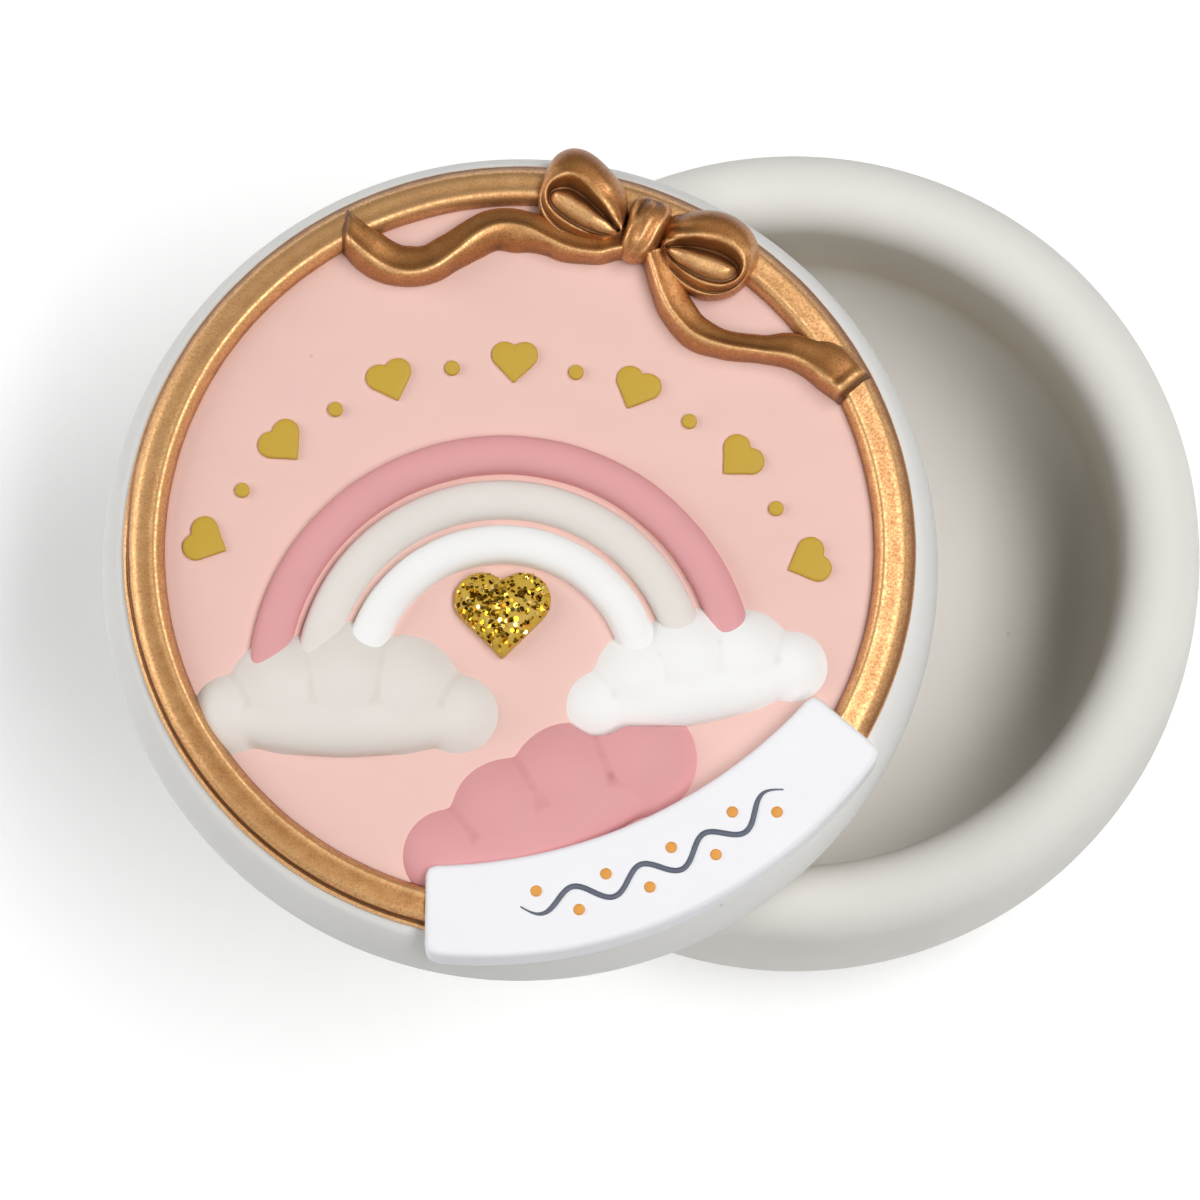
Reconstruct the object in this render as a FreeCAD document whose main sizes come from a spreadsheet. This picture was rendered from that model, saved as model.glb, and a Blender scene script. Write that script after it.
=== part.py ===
"""Round keepsake box for milk teeth: a cast bowl and a cast lid with a framed relief medallion.

Millimetres, +Z up. The origin is the centre of the foot that the bowl stands on, +X points to the right
and +Y to the back. The lid lies open across the rim, slid to the left and a little to the front.
"""
import FreeCAD
import Part
import Sketcher

import math
import os
from types import SimpleNamespace

# Driving dimensions: lengths in millimetres, angles in degrees.
DIMENSIONS = [
    # Bowl
    ("outer_radius", 37.5),
    ("base_height", 26.0),
    ("belly_height", 12.0),
    ("foot_radius", 27.0),
    ("rim_round", 3.7),
    ("rim_lean", 0.6),
    ("floor_thickness", 5.0),
    ("well_fillet", 7.0),
    # Lid
    ("lid_height", 11.0),
    ("lid_widest_height", 4.0),
    ("lid_heel", 1.2),
    ("shoulder_inset", 2.1),
    ("plug_depth", 2.0),
    ("plug_clearance", 0.4),
    ("panel_thickness", 0.8),
    # Where the lid lies
    ("lid_shift_x", -25.0),
    ("lid_shift_y", -4.0),
    ("rest_gap", 0.2),
    # Frame moulding
    ("frame_margin", 0.2),
    ("frame_width", 3.6),
    ("frame_height", 1.8),
    ("frame_bead", 0.9),
    ("frame_groove", 0.5),
    ("frame_ridge", 0.7),
    ("frame_end_tuck", 1.5),
    # Banner
    ("banner_angle", -65.7),
    ("banner_inset", 1.3),
    ("banner_width", 9.4),
    ("banner_inner_half", 19.2),
    ("banner_outer_half", 22.6),
    ("banner_inner_arc", 45.0),
    ("banner_outer_arc", 42.7),
    ("banner_height", 2.4),
    ("banner_round", 0.8),
    ("banner_corner", 1.2),
    # How far the banner and the bow hang down over the shoulder
    ("shoulder_drape", 2.0),
    # Ribbon bow
    ("bow_angle", 68.5),
    ("bow_offset", 0.2),
    ("knot_half_width", 2.3),
    ("knot_half_length", 2.9),
    ("knot_bulge", 6.0),
    ("knot_height", 4.4),
    ("knot_round", 1.3),
    ("loop_left_angle", 150.0),
    ("loop_right_angle", -17.5),
    ("loop_length", 11.2),
    ("loop_half_width", 3.4),
    ("loop_neck", 1.5),
    ("loop_height", 3.6),
    ("loop_round", 1.0),
    ("loop_hem", 1.2),
    ("loop_hollow_start", 3.4),
    ("loop_hollow_neck", 0.7),
    ("loop_hollow_depth", 1.5),
    ("tail_drop", 2.2),
    ("tail_left_angle", 175.1),
    ("tail_right_angle", -32.5),
    ("tail_wave_angle", 40.0),
    ("ribbon_width", 2.8),
    ("ribbon_height", 2.6),
    ("tail_left_first", 6.7),
    ("tail_left_second", 8.8),
    ("tail_left_third", 11.9),
    ("tail_right_first", 14.5),
    ("tail_right_second", 8.5),
    # Rainbow
    ("rainbow_x", -1.5),
    ("rainbow_y", -12.0),
    ("rainbow_margin", 9.1),
    ("band_width", 3.6),
    ("band_gap", 0.5),
    ("band_height", 1.6),
    # Clouds
    ("puff_rise", 0.45),
    ("cloud_left_aside", 2.7),
    ("cloud_left_drop", 6.4),
    ("cloud_left_tilt", 0.0),
    ("cloud_left_middle", 6.0),
    ("cloud_left_end", 3.6),
    ("cloud_left_pitch", 5.0),
    ("cloud_right_aside", 1.3),
    ("cloud_right_drop", 3.4),
    ("cloud_right_tilt", 12.0),
    ("cloud_right_middle", 5.2),
    ("cloud_right_end", 3.2),
    ("cloud_right_pitch", 4.3),
    ("cloud_front_aside", -4.4),
    ("cloud_front_middle", 5.6),
    ("cloud_front_end", 4.2),
    ("cloud_front_pitch", 6.2),
    # Hearts and dots
    ("glitter_heart_share", 0.353),
    ("glitter_heart_height", 1.8),
    ("glitter_heart_clearance", 0.5),
    ("garland_gap", 6.5),
    ("garland_start", 22.0),
    ("garland_sweep", 132.0),
    ("garland_heart_size", 1.75),
    ("garland_dot_radius", 0.7),
    ("garland_height", 0.5),
]
GARLAND_HEARTS = 7
GARLAND_DOTS = 6
PUFFS_EACH_SIDE = 2
# An arc's radius over its chord: a little over one half makes the arc nearly a half circle
NEAR_HALF_ROUND = 0.55
FULL_TURN = 360.0
HALF_TURN = 180.0
UPRIGHT = 90.0
# Lengths below this count as none
NO_LENGTH = 1e-4
# Radius of a heart's lobes over half the diagonal of the square that they stand on
LOBE_SHARE = math.sqrt(0.5)

doc = FreeCAD.newDocument("ToothBox")
sheet = doc.addObject("Spreadsheet::Sheet", "Sizes")


class Size:
    """A number together with the expression that ties it to the cells of the sheet."""

    def __init__(self, value, text):
        self.value = float(value)
        self.text = text

    def __add__(self, other):
        return Size(self.value + value_of(other), f"({self.text} + {text_of(other)})")

    def __radd__(self, other):
        return Size(value_of(other) + self.value, f"({text_of(other)} + {self.text})")

    def __sub__(self, other):
        return Size(self.value - value_of(other), f"({self.text} - {text_of(other)})")

    def __rsub__(self, other):
        return Size(value_of(other) - self.value, f"({text_of(other)} - {self.text})")

    def __mul__(self, other):
        return Size(self.value * value_of(other), f"({self.text} * {text_of(other)})")

    def __rmul__(self, other):
        return Size(value_of(other) * self.value, f"({text_of(other)} * {self.text})")

    def __truediv__(self, other):
        return Size(self.value / value_of(other), f"({self.text} / {text_of(other)})")

    def __neg__(self):
        return Size(-self.value, f"(0 - {self.text})")


def value_of(number):
    return number.value if isinstance(number, Size) else float(number)


def text_of(number):
    return number.text if isinstance(number, Size) else f"({float(number)})"


def root(number):
    return Size(math.sqrt(value_of(number)), f"sqrt({text_of(number)})")


def cosine(angle):
    return Size(math.cos(math.radians(value_of(angle))), f"cos({text_of(angle)})")


def sine(angle):
    return Size(math.sin(math.radians(value_of(angle))), f"sin({text_of(angle)})")


def arc_radius(run, rise):
    """Radius of the arc that leaves a vertical tangent and steps aside by rise over the length run."""
    return (run * run + rise * rise) / (2 * rise)


def fill_sheet():
    sizes = SimpleNamespace()
    for row, (name, value) in enumerate(DIMENSIONS, start=1):
        sheet.set(f"A{row}", name)
        sheet.set(f"B{row}", str(value))
        sheet.setAlias(f"B{row}", name)
        setattr(sizes, name, Size(value, f"Sizes.{name}"))
    doc.recompute()
    return sizes


def bind(item, path, number):
    """Tie one property of an object to the sheet."""
    item.setExpression(path, text_of(number))


def place(item, x, y, z, turn=0.0):
    """Put an object at x, y, z, turned about +Z, and tie all four to the sheet."""
    spot = FreeCAD.Vector(value_of(x), value_of(y), value_of(z))
    rotation = FreeCAD.Rotation(FreeCAD.Vector(0, 0, 1), value_of(turn))
    item.Placement = FreeCAD.Placement(spot, rotation)
    for path, number in (("Base.x", x), ("Base.y", y), ("Base.z", z), ("Rotation.Angle", turn)):
        if isinstance(number, Size):
            bind(item, f"Placement.{path}", number)


def new_body(name):
    return doc.addObject("PartDesign::Body", name)


def new_sketch(body, name, role, height=0.0):
    """A sketch on one of the body's own origin planes, raised along the plane's normal."""
    sketch = body.newObject("Sketcher::SketchObject", name)
    plane = [item for item in body.Origin.OriginFeatures if item.Role == role][0]
    sketch.AttachmentSupport = [(plane, "")]
    sketch.MapMode = "FlatFace"
    sketch.AttachmentOffset = FreeCAD.Placement(
        FreeCAD.Vector(0, 0, value_of(height)), FreeCAD.Rotation()
    )
    if isinstance(height, Size):
        bind(sketch, "AttachmentOffset.Base.z", height)
    return sketch


def constrain(sketch, number, *arguments):
    index = sketch.addConstraint(Sketcher.Constraint(*arguments, value_of(number)))
    if isinstance(number, Size):
        bind(sketch, f"Constraints[{index}]", number)


def arc_between(start, end, radius, turn):
    """The shorter arc from start to end; turn 1 bends to the left and -1 to the right."""
    chord = end - start
    depth = math.sqrt(max(radius * radius - chord.Length * chord.Length / 4, 0.0))
    aside = FreeCAD.Vector(-chord.y, chord.x, 0).normalize() * depth * turn
    centre = (start + end) / 2 + aside
    first, last = (start, end) if turn > 0 else (end, start)
    angles = [math.atan2(spot.y - centre.y, spot.x - centre.x) for spot in (first, last)]
    circle = Part.Circle(centre, FreeCAD.Vector(0, 0, 1), radius)
    return Part.ArcOfCircle(circle, angles[0], angles[1])


def outline(sketch, corners):
    """Draw a closed chain. A corner is (x, y), then a line, or (x, y, radius, turn), then an arc."""
    spots = [FreeCAD.Vector(value_of(corner[0]), value_of(corner[1]), 0) for corner in corners]
    ends = []
    for index, corner in enumerate(corners):
        start = spots[index]
        end = spots[(index + 1) % len(spots)]
        if len(corner) == 2:
            piece = sketch.addGeometry(Part.LineSegment(start, end))
            ends.append((piece, 1, 2))
            continue
        radius, turn = corner[2], corner[3]
        piece = sketch.addGeometry(arc_between(start, end, value_of(radius), turn))
        ends.append((piece, 1, 2) if turn > 0 else (piece, 2, 1))
    for index, (piece, _, last) in enumerate(ends):
        follower, first, _ = ends[(index + 1) % len(ends)]
        sketch.addConstraint(Sketcher.Constraint("Coincident", piece, last, follower, first))
    for corner, (piece, first, _) in zip(corners, ends):
        constrain(sketch, corner[0], "DistanceX", -1, 1, piece, first)
        constrain(sketch, corner[1], "DistanceY", -1, 1, piece, first)
        if len(corner) > 2:
            constrain(sketch, corner[2], "Radius", piece)


def disc(sketch, radius, x=0.0, y=0.0):
    centre = FreeCAD.Vector(value_of(x), value_of(y), 0)
    piece = sketch.addGeometry(Part.Circle(centre, FreeCAD.Vector(0, 0, 1), value_of(radius)))
    constrain(sketch, x, "DistanceX", -1, 1, piece, 3)
    constrain(sketch, y, "DistanceY", -1, 1, piece, 3)
    constrain(sketch, radius, "Radius", piece)


def revolve(body, name, corners, angle=FULL_TURN):
    sketch = new_sketch(body, f"{name}_profile", "XZ_Plane")
    outline(sketch, corners)
    feature = body.newObject("PartDesign::Revolution", f"{name}_revolution")
    feature.Profile = sketch
    feature.ReferenceAxis = (sketch, ["V_Axis"])
    feature.Angle = value_of(angle)
    if isinstance(angle, Size):
        bind(feature, "Angle", angle)
    return feature


def pad(body, name, sketch, height):
    feature = body.newObject("PartDesign::Pad", f"{name}_pad")
    feature.Profile = sketch
    feature.Length = value_of(height)
    bind(feature, "Length", height)
    return feature


def pocket(body, name, sketch, depth):
    feature = body.newObject("PartDesign::Pocket", f"{name}_pocket")
    feature.Profile = sketch
    feature.Length = value_of(depth)
    bind(feature, "Length", depth)
    return feature


def fillet(body, name, feature, radius, wanted):
    """Round every edge of a feature that the test wanted picks."""
    doc.recompute()
    edges = [f"Edge{index}" for index, edge in enumerate(feature.Shape.Edges, start=1) if wanted(edge.BoundBox)]
    rounded = body.newObject("PartDesign::Fillet", f"{name}_fillet")
    rounded.Base = (feature, edges)
    rounded.Radius = value_of(radius)
    bind(rounded, "Radius", radius)
    return rounded


def round_top(body, name, feature, radius):
    """Round every edge of the highest flat face."""
    doc.recompute()
    top = feature.Shape.BoundBox.ZMax
    return fillet(body, name, feature, radius, lambda box: box.ZMin > top - NO_LENGTH)


def round_corners(body, name, feature, radius):
    """Round every upright edge."""
    return fillet(body, name, feature, radius, lambda box: box.XLength + box.YLength < NO_LENGTH)


def fan(body, name, feature, count, sweep):
    """Repeat a feature about the body's own Z axis."""
    axis = [item for item in body.Origin.OriginFeatures if item.Role == "Z_Axis"][0]
    pattern = body.newObject("PartDesign::PolarPattern", f"{name}_pattern")
    pattern.Originals = [feature]
    pattern.Axis = (axis, [""])
    pattern.Angle = value_of(sweep)
    bind(pattern, "Angle", sweep)
    pattern.Occurrences = count
    body.Tip = pattern
    return pattern


def fuse(name, items):
    joined = doc.addObject("Part::MultiFuse", name)
    joined.Shapes = items
    return joined


def cut(name, base, tool):
    left = doc.addObject("Part::Cut", name)
    left.Base = base
    left.Tool = tool
    return left


def common(name, base, tool):
    shared = doc.addObject("Part::Common", name)
    shared.Base = base
    shared.Tool = tool
    return shared


size = fill_sheet()

# Levels and radii that several pieces share
rim_centre = size.outer_radius - size.rim_lean - size.rim_round
mouth_radius = rim_centre - size.rim_round
rim_level = size.base_height - size.rim_round
shoulder_radius = size.outer_radius - size.shoulder_inset
frame_outer = shoulder_radius - size.frame_margin
frame_inner = frame_outer - size.frame_width
banner_outer = size.outer_radius - size.banner_inset
banner_inner = banner_outer - size.banner_width
rainbow_radius = frame_inner - size.rainbow_margin
band_step = size.band_width + size.band_gap
rainbow_middle = rainbow_radius - band_step - size.band_width / 2
rainbow_inside = rainbow_radius - 2 * band_step - size.band_width
garland_radius = rainbow_radius + size.garland_gap
drape_level = size.lid_height - size.shoulder_drape
lid_x = size.lid_shift_x
lid_y = size.lid_shift_y
lid_z = size.base_height + size.rest_gap + size.plug_depth
field_z = lid_z + size.lid_height


def on_lid(body, x=0.0, y=0.0, turn=0.0):
    """Place a body at a spot of the lid, its own zero at the lid's underside."""
    place(body, lid_x + x, lid_y + y, lid_z, turn)


def make_base_bowl():
    """Thick-walled bowl with a rounded rim and a well with a large floor fillet."""
    body = new_body("base_bowl")
    foot_arc = arc_radius(size.belly_height, size.outer_radius - size.foot_radius)
    # The side arc leaves the belly upright and runs smoothly into the rim
    setback = size.outer_radius - rim_centre
    climb = rim_level - size.belly_height
    side_arc = (setback * setback + climb * climb - size.rim_round * size.rim_round) / (2 * size.rim_lean)
    share = size.rim_round / (side_arc - size.rim_round)
    meet_x = rim_centre + share * (side_arc - setback)
    meet_z = rim_level + share * climb
    revolve(body, "base_bowl", [
        (0.0, 0.0),
        (size.foot_radius, 0.0, foot_arc, 1),
        (size.outer_radius, size.belly_height, side_arc, 1),
        (meet_x, meet_z, size.rim_round, 1),
        (mouth_radius, rim_level),
        (mouth_radius, size.floor_thickness + size.well_fillet, size.well_fillet, -1),
        (mouth_radius - size.well_fillet, size.floor_thickness),
        (0.0, size.floor_thickness),
    ])
    return body


def make_lid_shell():
    """Pebble-edged lid with a plug below and a shallow seat for the panel on top."""
    body = new_body("lid_shell")
    plug_radius = mouth_radius - size.plug_clearance
    seat = size.lid_height - size.panel_thickness
    lower_arc = arc_radius(size.lid_widest_height, size.lid_heel)
    upper_arc = arc_radius(size.lid_height - size.lid_widest_height, size.shoulder_inset)
    revolve(body, "lid_shell", [
        (0.0, -size.plug_depth),
        (plug_radius, -size.plug_depth),
        (plug_radius, 0.0),
        (size.outer_radius - size.lid_heel, 0.0, lower_arc, 1),
        (size.outer_radius, size.lid_widest_height, upper_arc, 1),
        (shoulder_radius, size.lid_height),
        (frame_inner, size.lid_height),
        (frame_inner, seat),
        (0.0, seat),
    ])
    on_lid(body)
    return body


def make_medallion_panel():
    """Flat field inside the frame, let into the lid."""
    body = new_body("medallion_panel")
    sketch = new_sketch(body, "panel_circle", "XY_Plane", size.lid_height - size.panel_thickness)
    disc(sketch, frame_inner)
    pad(body, "medallion_panel", sketch, size.panel_thickness)
    on_lid(body)
    return body


def make_frame_ring():
    """Moulding round the field: outer bead, groove, sloping band and raised inner ridge."""
    body = new_body("frame_ring_whole")
    foot = size.lid_height
    groove_x = frame_outer - size.frame_bead
    bead_chord = root(size.frame_bead * size.frame_bead + size.frame_groove * size.frame_groove)
    ridge_x = frame_inner + size.frame_ridge
    ridge_z = foot + size.frame_height - size.frame_ridge / 2
    revolve(body, "frame_ring", [
        (frame_inner, foot),
        (frame_outer, foot, bead_chord * NEAR_HALF_ROUND, 1),
        (groove_x, foot + size.frame_groove, size.frame_width, 1),
        (ridge_x, ridge_z, size.frame_ridge * NEAR_HALF_ROUND, 1),
        (frame_inner, ridge_z),
    ])
    on_lid(body)
    # The moulding stops at the two ends of the banner
    gap = new_body("frame_gap")
    reach = size.outer_radius * 2
    half = size.banner_outer_half - size.frame_end_tuck
    sketch = new_sketch(gap, "gap_outline", "XY_Plane")
    outline(sketch, [(0.0, 0.0), (reach, -(reach * half / frame_outer)), (reach, reach * half / frame_outer)])
    pad(gap, "frame_gap", sketch, size.lid_height + size.frame_height * 2)
    on_lid(gap, turn=size.banner_angle)
    space, _ = banner_block("banner_space")
    return cut("frame_ring", cut("frame_ring_open", body, gap), space)


def banner_block(name):
    """Curved plaque with a sharp top edge, deep enough to reach over the lid's shoulder."""
    body = new_body(name)
    outer_x = banner_outer - size.banner_outer_arc + root(
        size.banner_outer_arc * size.banner_outer_arc - size.banner_outer_half * size.banner_outer_half
    )
    inner_x = banner_inner - size.banner_inner_arc + root(
        size.banner_inner_arc * size.banner_inner_arc - size.banner_inner_half * size.banner_inner_half
    )
    sketch = new_sketch(body, f"{name}_outline", "XY_Plane", drape_level)
    outline(sketch, [
        (inner_x, -size.banner_inner_half),
        (outer_x, -size.banner_outer_half, size.banner_outer_arc, 1),
        (outer_x, size.banner_outer_half),
        (inner_x, size.banner_inner_half, size.banner_inner_arc, -1),
    ])
    block = pad(body, name, sketch, size.shoulder_drape + size.banner_height)
    cornered = round_corners(body, f"{name}_corners", block, size.banner_corner)
    on_lid(body, turn=size.banner_angle)
    return body, cornered


def make_banner_blank():
    """The plaque with softened top edges."""
    body, block = banner_block("banner_blank")
    round_top(body, "banner", block, size.banner_round)
    return body


def bow_spot(drop=0.0):
    """Centre of the bow on the frame, or a spot further in by drop."""
    reach = frame_inner + size.bow_offset - drop
    return reach * cosine(size.bow_angle), reach * sine(size.bow_angle)


def make_knot_blank():
    body = new_body("bow_knot_blank")
    wide = size.knot_half_width
    long = size.knot_half_length
    sketch = new_sketch(body, "knot_outline", "XY_Plane", drape_level)
    outline(sketch, [
        (-long, -wide, size.knot_bulge, 1),
        (long, -wide, size.knot_bulge, 1),
        (long, wide, size.knot_bulge, 1),
        (-long, wide, size.knot_bulge, 1),
    ])
    height = size.shoulder_drape + size.knot_height
    block = pad(body, "bow_knot", sketch, height)
    round_top(body, "bow_knot", block, size.knot_round)
    x, y = bow_spot()
    on_lid(body, x, y, size.bow_angle)
    return body


def teardrop(start, neck, end, half_width):
    """Corners of a loop that widens from its neck to a round far end."""
    widest = end - half_width
    flank = arc_radius(widest - start, half_width - neck)
    return [
        (start, -neck, flank, 1),
        (widest, -half_width, half_width, 1),
        (end, 0.0, half_width, 1),
        (widest, half_width, flank, 1),
        (start, neck),
    ]


def make_loop_blank(name, angle):
    """One loop of the bow with the hollow of its fold on top."""
    body = new_body(f"{name}_blank")
    sketch = new_sketch(body, f"{name}_outline", "XY_Plane", drape_level)
    outline(sketch, teardrop(0.0, size.loop_neck, size.loop_length, size.loop_half_width))
    height = size.shoulder_drape + size.loop_height
    block = pad(body, name, sketch, height)
    rounded = round_top(body, name, block, size.loop_round)
    hollow = new_sketch(body, f"{name}_hollow", "XY_Plane", size.lid_height + size.loop_height)
    outline(hollow, teardrop(
        size.loop_hollow_start,
        size.loop_hollow_neck,
        size.loop_length - size.loop_hem,
        size.loop_half_width - size.loop_hem,
    ))
    doc.recompute()
    volume = rounded.Shape.Volume
    hollowed = pocket(body, name, hollow, size.loop_hollow_depth)
    doc.recompute()
    if hollowed.Shape.Volume > volume - 1.0:
        raise RuntimeError(f"the hollow of {name} cuts nothing")
    x, y = bow_spot()
    on_lid(body, x, y, angle)
    return body


def make_tail_blank(name, angle, first_turn, pitches):
    """Wavy ribbon tail: arcs that bend by turns, all meeting their line at the same angle."""
    body = new_body(f"{name}_blank")
    half = size.ribbon_width / 2
    sine_wave = sine(size.tail_wave_angle)
    cosine_wave = cosine(size.tail_wave_angle)
    right = []
    left = []
    along = 0.0
    turn = first_turn
    for pitch in pitches:
        bend = pitch / (2 * sine_wave)
        # Each bend starts by leaning away from its turn, and the two edges step aside square to that
        right.append((along - half * sine_wave * turn, -(half * cosine_wave), bend + half * turn, turn))
        left.append((along + half * sine_wave * turn, half * cosine_wave, bend - half * turn, turn))
        along = along + pitch
        turn = -turn
    right.append((along - half * sine_wave * turn, -(half * cosine_wave)))
    left.append((along + half * sine_wave * turn, half * cosine_wave))
    # The left edge is drawn back towards the start, so each arc hangs on the corner after it
    back = [left[-1]]
    for index in range(len(left) - 1, 0, -1):
        corner = left[index]
        radius, bent = left[index - 1][2], left[index - 1][3]
        back[-1] = (corner[0], corner[1], radius, -bent)
        back.append(left[index - 1][:2])
    sketch = new_sketch(body, f"{name}_outline", "XY_Plane", drape_level)
    outline(sketch, right + back)
    height = size.shoulder_drape + size.ribbon_height
    pad(body, name, sketch, height)
    x, y = bow_spot(size.tail_drop)
    on_lid(body, x, y, angle)
    return body


def make_rainbow_blank(name, order):
    """One half-round band of the rainbow, counted from the outside."""
    body = new_body(f"{name}_blank")
    outer = rainbow_radius - order * band_step
    inner = outer - size.band_width
    half = size.band_width / 2
    crown = (half * half + size.band_height * size.band_height) / (2 * size.band_height)
    middle = outer - half
    foot = size.lid_height
    revolve(body, name, [
        (inner, foot),
        (outer, foot, crown, 1),
        (middle, foot + size.band_height, crown, 1),
    ], HALF_TURN)
    on_lid(body, size.rainbow_x, size.rainbow_y)
    return body


def make_cloud_blank(name, x, y, tilt, puff, field_space):
    """A row of sunken balls standing on one base line, largest in the middle; puff is the radius of the
    middle ball's footprint, that of the end ones, and the pitch."""
    middle, end, pitch = puff
    puffs = []
    for index in range(-PUFFS_EACH_SIDE, PUFFS_EACH_SIDE + 1):
        share = (index / PUFFS_EACH_SIDE) ** 2
        radius = middle - share * (middle - end)
        ball_radius = radius * ((1 + size.puff_rise * size.puff_rise) / (2 * size.puff_rise))
        rise = radius * size.puff_rise
        along = index * pitch
        ball = doc.addObject("Part::Sphere", f"{name}_puff_{index + PUFFS_EACH_SIDE + 1}")
        bind(ball, "Radius", ball_radius)
        spot_x = lid_x + x + along * cosine(tilt) - radius * sine(tilt)
        spot_y = lid_y + y + along * sine(tilt) + radius * cosine(tilt)
        place(ball, spot_x, spot_y, field_z + rise - ball_radius)
        puffs.append(ball)
    return common(f"{name}_blank", fuse(f"{name}_puffs", puffs), field_space)


def heart_corners(half, x=0.0):
    """A heart standing along +X at x: a square on its corner with a half circle on each upper side."""
    lobe = half * LOBE_SHARE
    return [
        (x - half, 0.0),
        (x + 0.0, -half, lobe, 1),
        (x + half, -half, lobe, 1),
        (x + half, 0.0, lobe, 1),
        (x + half, half, lobe, 1),
        (x + 0.0, half),
    ]


def make_glitter_heart():
    """Raised heart that takes a share of the room under the innermost band."""
    body = new_body("glitter_heart")
    room = rainbow_inside - size.glitter_heart_clearance
    half = room * size.glitter_heart_share
    sketch = new_sketch(body, "glitter_heart_outline", "XY_Plane", size.lid_height)
    outline(sketch, heart_corners(half))
    pad(body, "glitter_heart", sketch, size.glitter_heart_height)
    # As high as its two lobes allow
    lobe_x = half / 2
    reach = room - half * LOBE_SHARE
    rise = root(reach * reach - lobe_x * lobe_x) - lobe_x
    on_lid(body, size.rainbow_x, size.rainbow_y + rise, UPRIGHT)
    return body


def make_garland_hearts():
    """Small flat hearts in a fan above the rainbow."""
    body = new_body("gold_hearts")
    sketch = new_sketch(body, "gold_heart_outline", "XY_Plane", size.lid_height)
    outline(sketch, heart_corners(size.garland_heart_size, garland_radius))
    block = pad(body, "gold_hearts", sketch, size.garland_height)
    doc.recompute()
    fan(body, "gold_hearts", block, GARLAND_HEARTS, size.garland_sweep)
    on_lid(body, size.rainbow_x, size.rainbow_y, size.garland_start)
    return body


def make_garland_dots():
    """Small flat dots half way between the hearts."""
    body = new_body("gold_dots")
    step = size.garland_sweep / (GARLAND_HEARTS - 1)
    sketch = new_sketch(body, "gold_dot_outline", "XY_Plane", size.lid_height)
    disc(sketch, size.garland_dot_radius, garland_radius)
    block = pad(body, "gold_dots", sketch, size.garland_height)
    doc.recompute()
    fan(body, "gold_dots", block, GARLAND_DOTS, step * (GARLAND_DOTS - 1))
    on_lid(body, size.rainbow_x, size.rainbow_y, size.garland_start + step / 2)
    return body


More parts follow.
